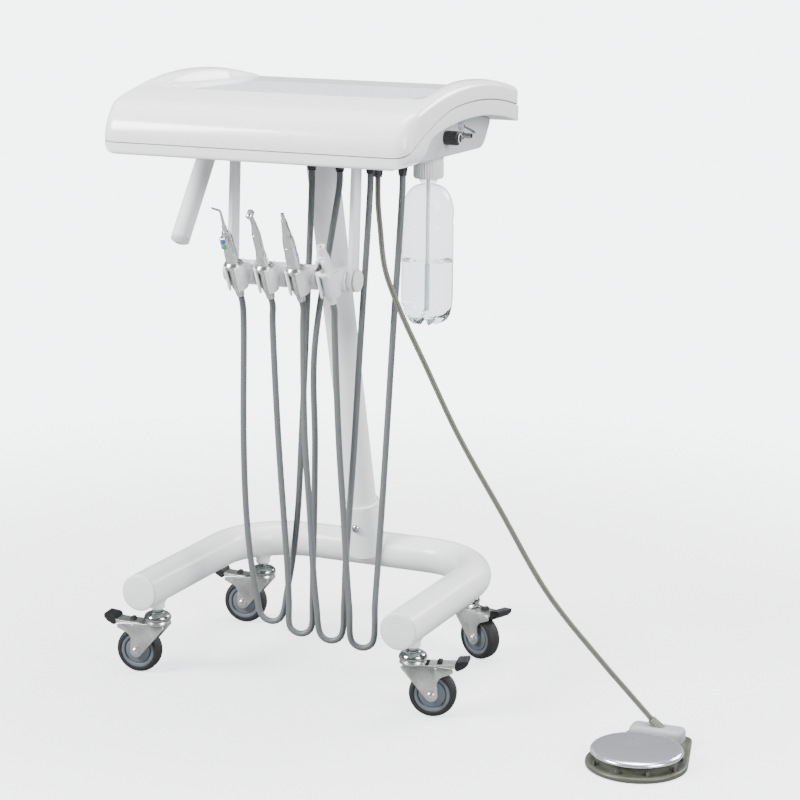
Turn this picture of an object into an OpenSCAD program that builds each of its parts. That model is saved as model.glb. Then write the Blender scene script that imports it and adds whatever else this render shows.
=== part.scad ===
/* [Base] */
// Outer diameter of the bent base tube
base_tube_d = 60; // [50:1:70]
// Wall of the base tube
base_wall = 2.5; // [1.5:0.5:4]
// Distance between the axes of the two legs
leg_spacing = 454; // [400:2:520]
// Length of a leg, from the back tube's axis to the end of the tube
leg_length = 400; // [340:2:460]
// Bend radius of the tube's axis at the two rear corners
corner_r = 120; // [90:5:150]
// Height of the tube's axis above the floor
tube_axis_z = 152; // [140:1:170]
// Thickness of the rim of a leg's end cap
cap_rim = 3; // [2:0.5:6]

/* [Column] */
// Outer diameter of the column
column_d = 51; // [45:1:56]
// Wall of the column
column_wall = 2.5; // [1.5:0.5:4]
// Lean of the column towards the user, in degrees
column_tilt = 14.8; // [10:0.2:16]
// How far the column's axis stands before the back tube's axis, at the tube's height
column_foot = 20; // [8:1:24]
// Outer diameter of the collar that holds the column
collar_d = 62; // [60:1:68]
// Length of the collar above the tube's axis
collar_len = 98; // [85:1:115]
// How deep the column sits in the collar
collar_depth = 66; // [50:1:75]
// Clearance round the column in its collar
collar_gap = 0.1; // [0.05:0.05:0.3]
// Width of the flange under the console
flange_w = 130; // [110:2:160]
// Depth of the flange under the console
flange_d = 78; // [74:1:80]
// Thickness of the flange
flange_t = 6; // [4:1:8]

/* [Casters] */
// Diameter of a wheel
wheel_d = 75; // [65:1:80]
// Width of a tyre
tyre_w = 24; // [20:1:26]
// Outer diameter of a hub, inside its tyre
hub_d = 57; // [50:1:60]
// Distance of an axle behind its swivel pin
trail = 32; // [26:1:34]
// Diameter of an axle
axle_d = 8; // [6:0.5:10]
// Running clearance of a wheel on its axle and of a fork on its pin
run_gap = 0.05; // [0.02:0.01:0.1]
// Gap inside a fork between its two plates
fork_gap = 31; // [29:0.5:34]
// Thickness of the fork's sheet
fork_t = 2.5; // [2:0.25:3.5]
// Height of a fork's crown above the floor
crown_z = 85; // [84:1:88]
// Diameter of the swivel head
head_d = 45; // [40:1:50]
// Diameter of a caster's stem
stem_d = 12; // [10:1:14]
// Distance of a front caster behind the end of its leg
front_caster_in = 58; // [45:1:80]

/* [Console] */
// Width of the console
console_w = 508; // [460:2:560]
// Front face of the console, before the back tube's axis
console_front = 452; // [430:2:470]
// Back face of the console, before the back tube's axis
console_back = 2; // [0:2:24]
// Height of the console's front lower edge
console_bottom_z = 860; // [840:1:880]
// Height of the console, from its front lower edge to the top of its side rims
console_h = 110; // [104:1:122]
// Radius of the arch of the side rims
arch_r = 850; // [800:10:1000]
// Radius of the rolled front edge
nose_r = 60; // [50:1:70]
// Depth of the arched band seen from the side
band = 53; // [48:1:58]
// Depth of the rolled front edge at its bottom
curl_w = 72; // [60:1:90]
// Wall of the console's two shells
shell = 3.5; // [2.5:0.25:5]
// How far the back of the deck lies below the top of the rims
deck_drop = 21; // [18:1:26]
// Rise of the deck towards the user, in degrees
deck_rise = 1; // [0:0.1:1.6]
// Width of a side rim at the back
rim_w = 40; // [30:1:50]
// Width of the mat
mat_w = 344; // [300:2:360]
// Distance of the mat to the right of the middle
mat_x = 28; // [0:2:32]
// Depth of the mat
mat_d = 214; // [150:2:216]
// Thickness of the mat
mat_t = 2.5; // [2:0.5:4]
// Thickness of the seal in the seam
seal_t = 1.6; // [1:0.2:3]

/* [Control housing] */
// Width of the housing under the console
housing_w = 430; // [400:2:440]
// Height of the housing's bottom
housing_z = 856; // [846:1:860]
// Front of the housing, before the back tube's axis
housing_front = 312; // [304:1:330]
// Back of the housing's bottom, before the back tube's axis
housing_back = 60; // [50:1:80]
// Wall of the housing
housing_wall = 3; // [2:0.5:4]
// Diameter of the large side knob
knob_d = 22; // [16:1:26]
// Diameter of the toggle's bush
toggle_d = 12; // [10:1:14]

/* [Water bottle] */
// Diameter of the bottle
bottle_d = 81; // [70:1:86]
// Height of the bottle from its feet to the top of its shoulder
bottle_h = 222; // [180:2:240]
// Wall of the bottle
bottle_wall = 1; // [0.6:0.1:1.6]
// Outer diameter of the bottle's neck
neck_d = 28; // [24:1:32]
// Distance of the bottle's axis from the right end of the housing
bottle_in = 35; // [30:1:38]
// Distance of the bottle before the back tube's axis
bottle_y = 195; // [185:1:200]

/* [Holders and instruments] */
// Diameter of the holder bar
bar_d = 28; // [22:1:30]
// How far the holder bar runs on past the middle of its arms
bar_over = 7; // [5:1:16]
// Distance of the bar before the back tube's axis
bar_y = 306; // [302:1:310]
// Height of the bar's axis
bar_z = 670; // [650:1:690]
// Distance between two holders
holder_pitch = 53; // [48:1:56]
// Width of a holder
holder_w = 38; // [32:1:42]
// Lean of the instruments towards the user, in degrees
lean = 25; // [20:1:30]
// Bore of a holder's cradle
cradle_d = 24; // [22:0.5:26]
// Wall of a holder's cradle
cradle_wall = 4.5; // [3:0.5:6]
// Opening at the front of a cradle
cradle_slot = 15; // [12:1:18]
// Height of a holder's cradle
cradle_h = 42; // [34:1:50]
// Diameter of an instrument where its holder grips it
grip_d = 20; // [18:0.5:21]
// How far an instrument is shown lifted when it is taken out
lift = 60; // [30:5:80]

/* [Hoses] */
// Diameter of a handpiece hose
hose_d = 10; // [8:0.5:11]
// Diameter of the foot control's hose
foot_hose_d = 9; // [7:0.5:10]

/* [Handle] */
// Diameter of the handle tube
handle_d = 30; // [24:1:34]
// Length of the handle tube
handle_len = 168; // [140:2:180]
// Lean of the handle, in degrees
handle_lean = 36; // [30:1:40]
// Distance of the handle's axis from the left end of the housing
handle_in = 40; // [34:1:50]

/* [Foot control] */
// Diameter of the foot control's base
foot_d = 152; // [140:1:164]
// Diameter of the pressed disc
disc_d = 138; // [120:1:144]
// Height of the disc's top above the floor
disc_top = 31; // [30:1:36]
// Travel of the disc
disc_travel = 6; // [3:0.5:6]

/* [Hidden] */
$fn = 48;
eps = 0.01;
fit = 0.3;               // seat clearance between pieces that lie on each other

// places of the casters: swivel pin and the direction in which each one trails
corner_cx = leg_spacing / 2 - corner_r;
rear_x = corner_cx + corner_r * cos(45);
rear_y = -corner_r + corner_r * sin(45);
front_y = -leg_length + front_caster_in;
front_left = [-leg_spacing / 2, front_y, 187];
front_right = [leg_spacing / 2, front_y, 14];
rear_left = [-rear_x, rear_y, 186];
rear_right = [rear_x, rear_y, -22];
boss_d = 2 * stem_d;
boss_drop = 12;
boss_z = tube_axis_z - base_tube_d / 2 - boss_drop;
head_z = crown_z + 5.5;
head_top = boss_z - 4;
pin_d = 10;
rivet_z = crown_z - fork_t - 3 - fit;
wheel_r = wheel_d / 2;
hub_bore = axle_d + 2 * run_gap;
pin_bore = pin_d + 2 * run_gap;
fork_half = fork_gap / 2;

// side profile of the console, as [y, z]
front_y0 = -console_front;
back_y0 = -console_back;
rim_top_z = console_bottom_z + console_h;
deck_back_z = rim_top_z - deck_drop;
arch_c = [-(console_front + console_back) / 2 + 40, rim_top_z - arch_r];
nose_dy = front_y0 + nose_r - arch_c[0];
nose_c = [front_y0 + nose_r, arch_c[1] + sqrt(pow(arch_r - nose_r, 2) - pow(nose_dy, 2))];
nose_a = atan2(nose_c[1] - arch_c[1], nose_c[0] - arch_c[0]);
curl_r = 45;
curl_dy = front_y0 + curl_w + curl_r - arch_c[0];
under_r = arch_r - band;
curl_c = [front_y0 + curl_w + curl_r, arch_c[1] + sqrt(pow(under_r - curl_r, 2) - pow(curl_dy, 2))];
curl_a = atan2(curl_c[1] - arch_c[1], curl_c[0] - arch_c[0]);
seam_front_z = console_bottom_z + 18;
seam_r = arch_r - 28;
seam_bend = arch_c[0] - 73;
seam_slope = [-17, -80];
deck_half = console_w / 2 - rim_w;
deck_meet = arch_c[0] - 158;
rim_flare = arch_c[0] + 67;
mat_y = arch_c[0] - 56;
pocket = 1.2;
corner_r2 = 28;

// the column's axis
col_dir = [0, -sin(column_tilt), cos(column_tilt)];
col_foot = [0, -column_foot, tube_axis_z];
col_len = (housing_z - flange_t - tube_axis_z) / cos(column_tilt);
col_top_y = -column_foot - (housing_z - tube_axis_z) * tan(column_tilt);

// how far a cut runs on past the console
beyond = 160;

// side face of the housing, and its toggle: bore of the bush, barrel and cross pin, and the pin's place
side_x = housing_w / 2;
bottle_x = side_x - bottle_in;
handle_x = side_x - handle_in;
toggle_bore = 6.2;
toggle_barrel = 4.4;
toggle_pin = 1.6;
toggle_x = side_x + 6;
toggle_lean = 115;

// instruments: the hose leaves at hose_exit, the axis leans by lean
u = [0, -sin(lean), cos(lean)];
axis_back = bar_d / 2 + cradle_wall + cradle_d / 2 + 3;
grip_base = [0, -bar_y - axis_back * cos(lean), bar_z - axis_back * sin(lean)];
exit_drop = 22;
hose_seat = 0.02;
hose_exit = grip_base - u * (exit_drop + hose_seat);
holder_x = [for (i = [0:3]) (i - 1.5) * holder_pitch];
arm_t = 8;
arm_x = holder_x[3] + holder_w / 2 + arm_t / 2 + 1.5;
bar_len = 2 * (arm_x + bar_over);

// hose outlets under the housing
outlet_y = -258;
outlet_x = [10, 58, 110, 164];
foot_outlet = [138, -292];
gland_h = 26;
gland_z = housing_z - gland_h;

// routes of the hoses, from the instrument to the outlet
exit_y = hose_exit[1];
exit_z = hose_exit[2];
syringe_route = [[-82, -313, 598], [-86, -307, 400], [-83, -306, 290], [-75, -306, 205], [-66, -304, 148],
  [-58, -302, 111], [-47, -300, 102], [-34, -298, 102], [-24, -296, 111], [-16, -292, 155], [-7, -290, 210],
  [1, -288, 290], [5, -284, 400], [8, -276, 550]];
turbine_route = [[-31, -313, 598], [-25, -307, 420], [-16, -306, 290], [-9, -306, 200], [-7, -304, 140],
  [-6, -302, 97], [5, -300, 88], [17, -298, 88], [28, -296, 97], [29, -292, 145], [29, -290, 205],
  [30, -288, 290], [29, -284, 400], [24, -276, 550]];
motor_route = [[22, -313, 598], [22, -307, 420], [31, -306, 290], [37, -306, 200], [42, -304, 140],
  [48, -302, 93], [58, -300, 84], [71, -298, 84], [82, -296, 93], [85, -292, 150], [86, -290, 205],
  [91, -288, 290], [97, -284, 400], [102, -276, 550]];
suction_route = [[76, -313, 598], [81, -307, 420], [90, -306, 290], [96, -306, 200], [100, -304, 140],
  [103, -302, 89], [114, -300, 80], [126, -298, 80], [137, -296, 89], [139, -292, 155], [143, -290, 225],
  [147, -288, 300], [152, -283, 420], [157, -275, 570]];
foot_route = [[139, -293, 790], [144, -296, 755], [155, -300, 690], [182, -304, 630], [226, -306, 549],
  [282, -306, 445], [352, -304, 335], [432, -302, 212], [518, -299, 118], [566, -297, 70]];

// foot control
foot_c = [612, -399];
foot_turn = 2;
foot_block = [3, 102];
block_w = 84;
block_d = 36;
block_h = 18;
foot_base_h = 8;
foot_ring_h = 10;
disc_h = 8;
disc_low = disc_top - disc_h - 2;
roof_z = disc_low + disc_h - 2;
relief_lean = 46;
relief_len = 14;
relief_foot = [611, -297, 26.5];
relief_dir = [-sin(relief_lean), 0, cos(relief_lean)];
foot_end = relief_foot + relief_dir * relief_len;

steel = "silver";
white = "white";

// points of an arc round c, from angle a0 to a1
function arc_pts(c, r, a0, a1, n) =
  [for (i = [0:n]) c + r * [cos(a0 + (a1 - a0) * i / n), sin(a0 + (a1 - a0) * i / n)]];

// angle on a circle round the arch's centre at which y is reached
function arch_angle(r, y) = acos((y - arch_c[0]) / r);

// closed side profile of the console, moved inwards by t
function console_profile(t) = concat(
  [[front_y0 + t, console_bottom_z + t]],
  arc_pts(nose_c, nose_r - t, 180, nose_a, 8),
  arc_pts(arch_c, arch_r - t, nose_a, arch_angle(arch_r - t, back_y0 - t), 14),
  arc_pts(arch_c, under_r + t, arch_angle(under_r + t, back_y0 - t), curl_a, 14),
  arc_pts(curl_c, curl_r + t, curl_a, 176, 6),
  [[front_y0 + curl_w - t, console_bottom_z + t]]);

// height of the seam: an arch, and before seam_bend a cubic with the given end slopes
function arch_z(r, y) = arch_c[1] + sqrt(r * r - pow(y - arch_c[0], 2));
function cubic(a, b, t) = a + (b - a) * t * t * (3 - 2 * t)
  + seam_slope[0] * t * (1 - t) * (1 - t) - seam_slope[1] * t * t * (1 - t);
function seam_z(y) = y > seam_bend ? arch_z(seam_r, y)
  : cubic(arch_z(seam_r, seam_bend), seam_front_z, min(1, (seam_bend - y) / (seam_bend - front_y0)));
function seam_line(dz) = [for (i = [0:20])
  let (y = front_y0 - 5 + (back_y0 - front_y0 + 10) * i / 20) [y, seam_z(max(y, front_y0)) + dz]];
function above_seam(dz) = concat(seam_line(dz),
  [[back_y0 + 5, rim_top_z + beyond], [front_y0 - 5, rim_top_z + beyond]]);
function below_seam(dz) = concat(seam_line(dz),
  [[back_y0 + 5, console_bottom_z - beyond], [front_y0 - 5, console_bottom_z - beyond]]);

// height of the deck, a plane that cuts the arch, and the space above it
function deck_z(y) = deck_back_z + (back_y0 - y) * tan(deck_rise);
function above_deck(dz, y0, y1) = [[y0, deck_z(y0) + dz], [y1, deck_z(y1) + dz], [y1, rim_top_z + beyond],
  [y0, rim_top_z + beyond]];

// a profile in y and z, drawn out along x about the middle
module along_x(w) {
  translate([-w / 2, 0, 0]) rotate([90, 0, 90]) linear_extrude(w) children();
}

// rounded rectangle from square and circle pieces
module round_rect(w, d, r) {
  square([w - 2 * r, d], center = true);
  square([w, d - 2 * r], center = true);
  for (x = [-1, 1], y = [-1, 1]) translate([x * (w / 2 - r), y * (d / 2 - r)]) circle(r);
}

// swept tube along a route: rings turned into the direction of the path
function unit(v) = v / norm(v);
function side_of(d) = unit(cross(d, abs(d[2]) > 0.9 ? [0, 1, 0] : [0, 0, 1]));
function dir_at(p, i) = unit(p[min(i + 1, len(p) - 1)] - p[max(i - 1, 0)]);
function frames(p, i = 0, s = [0, 0, 0]) = i >= len(p) ? [] :
  let (d = dir_at(p, i), s0 = i == 0 ? side_of(d) : s, s1 = unit(s0 - d * (s0 * d)))
  concat([[s1, cross(d, s1)]], frames(p, i + 1, s1));
function ring(c, f, r, n) = [for (k = [0:n - 1]) c + r * (f[0] * cos(360 * k / n) + f[1] * sin(360 * k / n))];
module sweep(p, r, n) {
  f = frames(p);
  pts = [for (i = [0:len(p) - 1]) each ring(p[i], f[i], r, n)];
  last = (len(p) - 1) * n;
  faces = concat([[for (k = [0:n - 1]) k]], [[for (k = [n - 1:-1:0]) last + k]],
    [for (i = [0:len(p) - 2], k = [0:n - 1])
      [i * n + k, (i + 1) * n + k, (i + 1) * n + (k + 1) % n, i * n + (k + 1) % n]]);
  polyhedron(pts, faces);
}

// ---- base ----
module u_tube(r, over) {
  translate([-corner_cx, 0, tube_axis_z]) rotate([0, 90, 0]) cylinder(r = r, h = 2 * corner_cx);
  for (s = [-1, 1]) {
    translate([s * corner_cx, -corner_r, tube_axis_z])
      rotate([0, 0, s > 0 ? 0 : 90]) rotate_extrude(angle = 90) translate([corner_r, 0]) circle(r);
    translate([s * leg_spacing / 2, -corner_r, tube_axis_z]) rotate([90, 0, 0])
      cylinder(r = r, h = leg_length - corner_r + over);
  }
}

module at_column(d) {
  translate(col_foot + col_dir * d) rotate([column_tilt, 0, 0]) children();
}

module base_frame() color(white) difference() {
  union() {
    difference() {
      union() {
        u_tube(base_tube_d / 2, 0);
        at_column(0) cylinder(d = collar_d, h = collar_len);
      }
      u_tube(base_tube_d / 2 - base_wall, 1);
    }
    for (c = [front_left, front_right, rear_left, rear_right])
      translate([c[0], c[1], boss_z]) cylinder(d = boss_d, h = boss_drop + 10);
  }
  at_column(collar_len - collar_depth) cylinder(d = column_d + 2 * collar_gap, h = collar_depth + 1);
  at_column(collar_len - collar_depth - 30) cylinder(d = column_d - 10, h = 40);
  for (c = [front_left, front_right, rear_left, rear_right])
    translate([c[0], c[1], boss_z - 1]) cylinder(d = stem_d + 2 * run_gap, h = boss_drop + 12);
  at_column(bolt_up) rotate([90, 0, 0]) cylinder(d = bolt_d + 2 * run_gap, h = collar_d);
}

bolt_d = 8;
bolt_up = collar_len - 38;

module leg_end_caps() color(white)
  for (s = [-1, 1]) translate([s * leg_spacing / 2, -leg_length, tube_axis_z]) rotate([90, 0, 0]) {
    cylinder(d = base_tube_d, h = cap_rim);
    translate([0, 0, -14]) difference() {
      cylinder(d = base_tube_d - 2 * base_wall - 0.2, h = 14 + eps);
      translate([0, 0, -1]) cylinder(d = base_tube_d - 2 * base_wall - 6, h = 13);
    }
    translate([0, 0, cap_rim - eps]) cylinder(d1 = base_tube_d - 3, d2 = base_tube_d - 8, h = 1.5);
  }

module collar_bolt() color(steel) at_column(bolt_up) rotate([90, 0, 0]) difference() {
  union() {
    translate([0, 0, column_d / 2 + collar_gap]) cylinder(d = bolt_d, h = collar_d / 2 - column_d / 2 + 3);
    translate([0, 0, collar_d / 2]) cylinder(d = 15, h = 3);
    translate([0, 0, collar_d / 2 + 3]) cylinder(d1 = 15, d2 = 11, h = 3);
  }
  translate([0, 0, collar_d / 2 + 3]) cylinder(d = 6, h = 4, $fn = 6);
}

module column_tube() color(white) {
  difference() {
    at_column(collar_len - collar_depth + 1)
      cylinder(d = column_d, h = col_len - collar_len + collar_depth + 20);
    at_column(0) cylinder(d = column_d - 2 * column_wall, h = col_len + 40);
    translate([-150, col_top_y - 150, housing_z - flange_t / 2]) cube([300, 300, 100]);
  }
  translate([0, col_top_y, housing_z - flange_t]) difference() {
    linear_extrude(flange_t) round_rect(flange_w, flange_d, 14);
    at_flange_screws(-1) cylinder(d = screw_d + 2 * run_gap, h = flange_t + 2);
  }
}
screw_d = 6;
module at_flange_screws(z) {
  for (x = [-1, 1], y = [-1, 1]) translate([x * (flange_w / 2 - 14), y * (flange_d / 2 - 12), z]) children();
}
module flange_screws() color(steel) translate([0, col_top_y, housing_z - flange_t])
  at_flange_screws(-5) difference() {
  union() {
    cylinder(d = 10, h = 5);
    translate([0, 0, 4]) cylinder(d = screw_d, h = flange_t + housing_wall + 6);
  }
  translate([0, 0, -1]) cylinder(d = 5, h = 3.5, $fn = 6);
}

// ---- casters, drawn with the swivel pin on the z axis and the wheel towards +x ----
module at_caster(c) {
  translate([c[0], c[1], 0]) rotate([0, 0, c[2]]) children();
}

module caster_stem() {
  // domed swivel head with the race under it, and the pin that the fork turns on
  rotate_extrude() polygon(concat(
    [[0, head_z], [head_d / 2 - 3, head_z], [head_d / 2, head_z + 2]],
    arc_pts([head_d / 2 - 9, head_z + 4], 9, 0, 90, 6),
    [[stem_d / 2 + 2, head_top], [0, head_top]]));
  translate([0, 0, head_top - 1]) cylinder(d = stem_d, h = boss_z + boss_drop + 8 - head_top);
  translate([0, 0, head_top - 1]) cylinder(d = stem_d + 7, h = boss_z - head_top + 1 - fit, $fn = 6);
  translate([0, 0, rivet_z + 1]) cylinder(d = pin_d, h = head_z - rivet_z + 3);
  translate([0, 0, rivet_z]) cylinder(d = 17, h = 3);
}
module caster_stems() color(steel)
  for (c = [front_left, front_right, rear_left, rear_right]) at_caster(c) caster_stem();

// side of a fork, as [along the trail, above the axle]
module fork_side() {
  k = crown_z - wheel_r;
  difference() {
    union() {
      circle(10);
      polygon([[-trail - 17, k - 4], [-trail - 17, k], [0, k], [29, k - 2], [34, k - 5], [33, k - 10],
        [24, k - 14], [13, k - 18], [8.5, k - 26], [9.95, 1], [0, -5], [-7.6, -6.5]]);
    }
    translate([14, k - 24]) circle(5);
  }
}
module fork() {
  axle_z = wheel_r;
  difference() {
    union() {
      for (s = [-1, 1]) translate([trail, s > 0 ? -fork_half : fork_half + fork_t, axle_z])
        rotate([90, 0, 0]) linear_extrude(fork_t) fork_side();
      translate([-17, -fork_half - eps, crown_z - fork_t]) cube([40, fork_gap + 2 * eps, fork_t]);
      translate([0, 0, crown_z - fork_t]) cylinder(d = head_d - 4, h = fork_t);
      translate([0, 0, crown_z - eps]) cylinder(d1 = head_d - 2, d2 = head_d - 5, h = head_z - crown_z - fit);
    }
    translate([0, 0, crown_z - 20]) cylinder(d = pin_bore, h = 40);
  }
  // the cross pin of the brake, and the axle bolt with its head and nut
  translate([trail + brake_u, fork_half + fork_t, axle_z + brake_v + 1.5]) rotate([90, 0, 0])
    cylinder(d = brake_pin, h = fork_gap + 2 * fork_t);
  translate([trail, fork_half + fork_t + 4, axle_z]) rotate([90, 0, 0])
    cylinder(d = axle_d, h = fork_gap + 2 * fork_t + 9);
  for (y = [fork_half + fork_t + 4, -fork_half - fork_t])
    translate([trail, y, axle_z]) rotate([90, 0, 0]) cylinder(d = 13, h = 4 + eps, $fn = 6);
}

module hub() translate([trail, 0, wheel_r]) rotate([90, 0, 0]) rotate_extrude() polygon([
  [hub_bore / 2, -fork_half + fit], [9, -fork_half + fit],
  [9, -tyre_w / 2 + 2], [hub_d / 2 - 8, -tyre_w / 2 + 2],
  [hub_d / 2 - 7, -tyre_w / 2 + 3.5], [hub_d / 2 - 5.5, -tyre_w / 2 + 3.5],
  [hub_d / 2 - 4.5, -tyre_w / 2 + 1], [hub_d / 2, -tyre_w / 2 + 1], [hub_d / 2, tyre_w / 2 - 1],
  [hub_d / 2 - 4.5, tyre_w / 2 - 1],
  [hub_d / 2 - 5.5, tyre_w / 2 - 3.5], [hub_d / 2 - 7, tyre_w / 2 - 3.5], [hub_d / 2 - 8, tyre_w / 2 - 2],
  [9, tyre_w / 2 - 2], [9, fork_half - fit], [hub_bore / 2, fork_half - fit]]);

module tyre() translate([trail, 0, wheel_r]) rotate([90, 0, 0]) rotate_extrude() polygon(concat(
  [[hub_d / 2, -tyre_w / 2], [wheel_r - 7, -tyre_w / 2]],
  arc_pts([wheel_r - 7, -tyre_w / 2 + 7], 7, -90, 0, 5),
  arc_pts([wheel_r - 7, tyre_w / 2 - 7], 7, 0, 90, 5),
  [[hub_d / 2, tyre_w / 2]]));

// brake lever, swung about a cross pin in the fork
brake_u = 6;
brake_v = crown_z - wheel_r - 5.5;
brake_pin = 3;
module brake() translate([trail, 0, wheel_r]) {
  w = fork_gap - 2 * 0.8;
  rotate([90, 0, 0]) translate([0, 0, -w / 2]) linear_extrude(w) difference() {
    polygon([[-6, brake_v - 1.5], [-6, brake_v + 6.5], [30, brake_v + 7.5], [38, brake_v + 9],
      [38, brake_v + 4], [30, brake_v + 2], [12, brake_v - 2], [2, brake_v - 3]]);
    translate([brake_u, brake_v + 1.5]) circle(d = brake_pin + 2 * run_gap);
  }
  translate([6, -6, brake_v + 6]) cube([9, 12, 6.5]);
  rotate([90, 0, 0]) translate([0, 0, -w / 2 - 1.5]) linear_extrude(w + 3)
    polygon([[36, brake_v + 1], [36, brake_v + 12], [40, brake_v + 15], [56, brake_v + 17],
      [57, brake_v + 11], [50, brake_v + 4], [40, brake_v - 1]]);
}

module front_left_fork() color(steel) at_caster(front_left) fork();
module front_left_hub() color("slategray") at_caster(front_left) hub();
module front_left_tyre() color("dimgray") at_caster(front_left) tyre();
module front_left_brake() color("dimgray") at_caster(front_left) brake();
module front_right_fork() color(steel) at_caster(front_right) fork();
module front_right_hub() color("slategray") at_caster(front_right) hub();
module front_right_tyre() color("dimgray") at_caster(front_right) tyre();
module front_right_brake() color("dimgray") at_caster(front_right) brake();
module rear_left_fork() color(steel) at_caster(rear_left) fork();
module rear_left_hub() color("slategray") at_caster(rear_left) hub();
module rear_left_tyre() color("dimgray") at_caster(rear_left) tyre();
module rear_left_brake() color("dimgray") at_caster(rear_left) brake();
module rear_right_fork() color(steel) at_caster(rear_right) fork();
module rear_right_hub() color("slategray") at_caster(rear_right) hub();
module rear_right_tyre() color("dimgray") at_caster(rear_right) tyre();
module rear_right_brake() color("dimgray") at_caster(rear_right) brake();

// ---- console ----
console_mid_y = (front_y0 + back_y0) / 2;
console_d = back_y0 - front_y0;
module console_front(t) {
  translate([0, back_y0 + beyond, console_bottom_z + t + beyond]) rotate([90, 0, 0])
    linear_extrude(console_d + 2 * beyond) round_rect(console_w - 2 * t, 2 * beyond, corner_r2 - t);
}
module console_plan(t) {
  translate([0, console_mid_y, console_bottom_z - beyond]) linear_extrude(2 * beyond + console_h)
    round_rect(console_w - 2 * t, console_d - 2 * t, 22 - t);
}
module console_solid(t) intersection() {
  along_x(console_w - 2 * t) polygon(console_profile(t));
  console_plan(t);
  console_front(t);
}
module deck_space(dz, side) intersection() {
  along_x(console_w + 20) polygon(above_deck(dz, front_y0 - 5, back_y0 + 5));
  translate([0, 0, console_bottom_z]) linear_extrude(console_h + beyond) polygon([for (s = [-1, 1], k = [0:2])
    let (p = [[deck_half + side, back_y0 + 9], [deck_half + side, rim_flare],
      [console_w / 2 + 10 + side, deck_meet]][s > 0 ? 2 - k : k])
    [s * p[0], p[1]]]);
}

module tray_cover() color(white) difference() {
  console_solid(0);
  deck_space(0, 0);
  difference() {
    console_solid(shell);
    deck_space(-shell - pocket, shell);
  }
  along_x(console_w + 10) polygon(below_seam(seal_t / 2));
  mat_space(pocket, 0.3);
}

module mat_space(depth, gap) intersection() {
  along_x(console_w) polygon(above_deck(-depth, front_y0 - 5, back_y0 + 5));
  translate([mat_x, mat_y, console_bottom_z]) linear_extrude(console_h + beyond)
    round_rect(mat_w + 2 * gap, mat_d + 2 * gap, 12);
}

module tray_mat() color("lightgray") difference() {
  mat_space(pocket, 0);
  along_x(console_w) polygon(above_deck(mat_t - pocket, front_y0 - 5, back_y0 + 5));
}

module tray_seal() color("gray") difference() {
  console_solid(0.8);
  console_solid(shell);
  along_x(console_w + 10) polygon(above_seam(seal_t / 2));
  along_x(console_w + 10) polygon(below_seam(-seal_t / 2));
}

module tray_base() color(white) difference() {
  console_solid(0);
  console_solid(shell);
  along_x(console_w + 10) polygon(above_seam(-seal_t / 2));
}

// ---- control housing ----
function housing_profile(t) = concat(
  [[-housing_front + t, housing_z + 8 + t], [-housing_front + 8 + t, housing_z + t],
   [-housing_back - t, housing_z + t], [-housing_back + 15 - t, housing_z + 12 + t],
   [-housing_back + 32 - t, housing_z + 36 + t]],
  arc_pts(arch_c, under_r - fit + (t > 0 ? 5 : 0), arch_angle(under_r, -housing_back + 34 - t),
    arch_angle(under_r, -housing_front + t), 12));
module control_housing() color("gainsboro") difference() {
  union() {
    difference() {
      along_x(housing_w) polygon(housing_profile(0));
      along_x(housing_w - 2 * housing_wall) polygon(housing_profile(housing_wall));
    }
    translate([0, col_top_y, housing_z]) at_flange_screws(1) cylinder(d = 14, h = housing_wall + 7);
    translate([side_x - 1, toggle_p[0], toggle_p[1]]) rotate([0, 90, 0])
      cylinder(d = toggle_d, h = toggle_x - side_x + 1 + 2 * toggle_pin);
  }
  translate([0, col_top_y, housing_z]) at_flange_screws(-1)
    cylinder(d = screw_d + 2 * run_gap, h = housing_wall + 7);
  for (x = outlet_x) translate([x, outlet_y, housing_z - 1]) cylinder(d = gland_pin + 2 * run_gap, h = 12);
  translate([foot_outlet[0], foot_outlet[1], housing_z - 1]) cylinder(d = gland_pin + 2 * run_gap, h = 12);
  side_bore(knob_p, knob_pin);
  side_bore(inlet_p, inlet_pin + 2 * run_gap);
  side_bore(toggle_p, toggle_bore);
  across_toggle(toggle_pin + 2 * run_gap, 2 * toggle_d);
  translate([bottle_x, -bottle_y, housing_z - 1]) cylinder(d = cap_pin + 2 * run_gap, h = 12);
}
gland_pin = 12;
cap_pin = 16;
knob_pin = 8;
inlet_pin = 8;
knob_p = [-213, 886];
inlet_p = [-150, 884];
toggle_p = [-158, 900];
module side_bore(p, d) translate([side_x - 20, p[0], p[1]]) rotate([0, 90, 0]) cylinder(d = d, h = 30);

module control_knob() color("dimgray") translate([side_x, knob_p[0], knob_p[1]]) rotate([0, 90, 0]) {
  translate([0, 0, -8]) cylinder(d = knob_pin - 2 * run_gap, h = 9);
  translate([0, 0, fit]) difference() {
    cylinder(d = knob_d, h = 22);
    for (a = [0:30:330]) rotate([0, 0, a]) translate([knob_d / 2 + 0.8, 0, 3]) cylinder(d = 3, h = 30);
  }
  translate([0, 0, 22]) cylinder(d = knob_d - 6, h = 3);
}

module air_inlet() color(steel) translate([side_x, inlet_p[0], inlet_p[1]]) rotate([0, 90, 0]) difference() {
  union() {
    translate([0, 0, -8]) cylinder(d = inlet_pin, h = 9);
    cylinder(d = 14, h = 4, $fn = 6);
    translate([0, 0, 3]) cylinder(d = 9, h = 15);
  }
  translate([0, 0, -9]) cylinder(d = 4.5, h = 30);
}

module across_toggle(d, w) translate([toggle_x, toggle_p[0] + w / 2, toggle_p[1]]) rotate([90, 0, 0])
  cylinder(d = d, h = w);
module toggle_lever() color(steel) {
  across_toggle(toggle_pin, toggle_d - 1);
  across_toggle(toggle_barrel, toggle_barrel - 0.6);
  translate([toggle_x, toggle_p[0], toggle_p[1]]) rotate([0, toggle_lean, 0])
    rotate_extrude() polygon([[0, 0], [1.3, 0], [1.3, 3.2], [2.2, 23], [1.6, 24], [0, 24]]);
}

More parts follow.
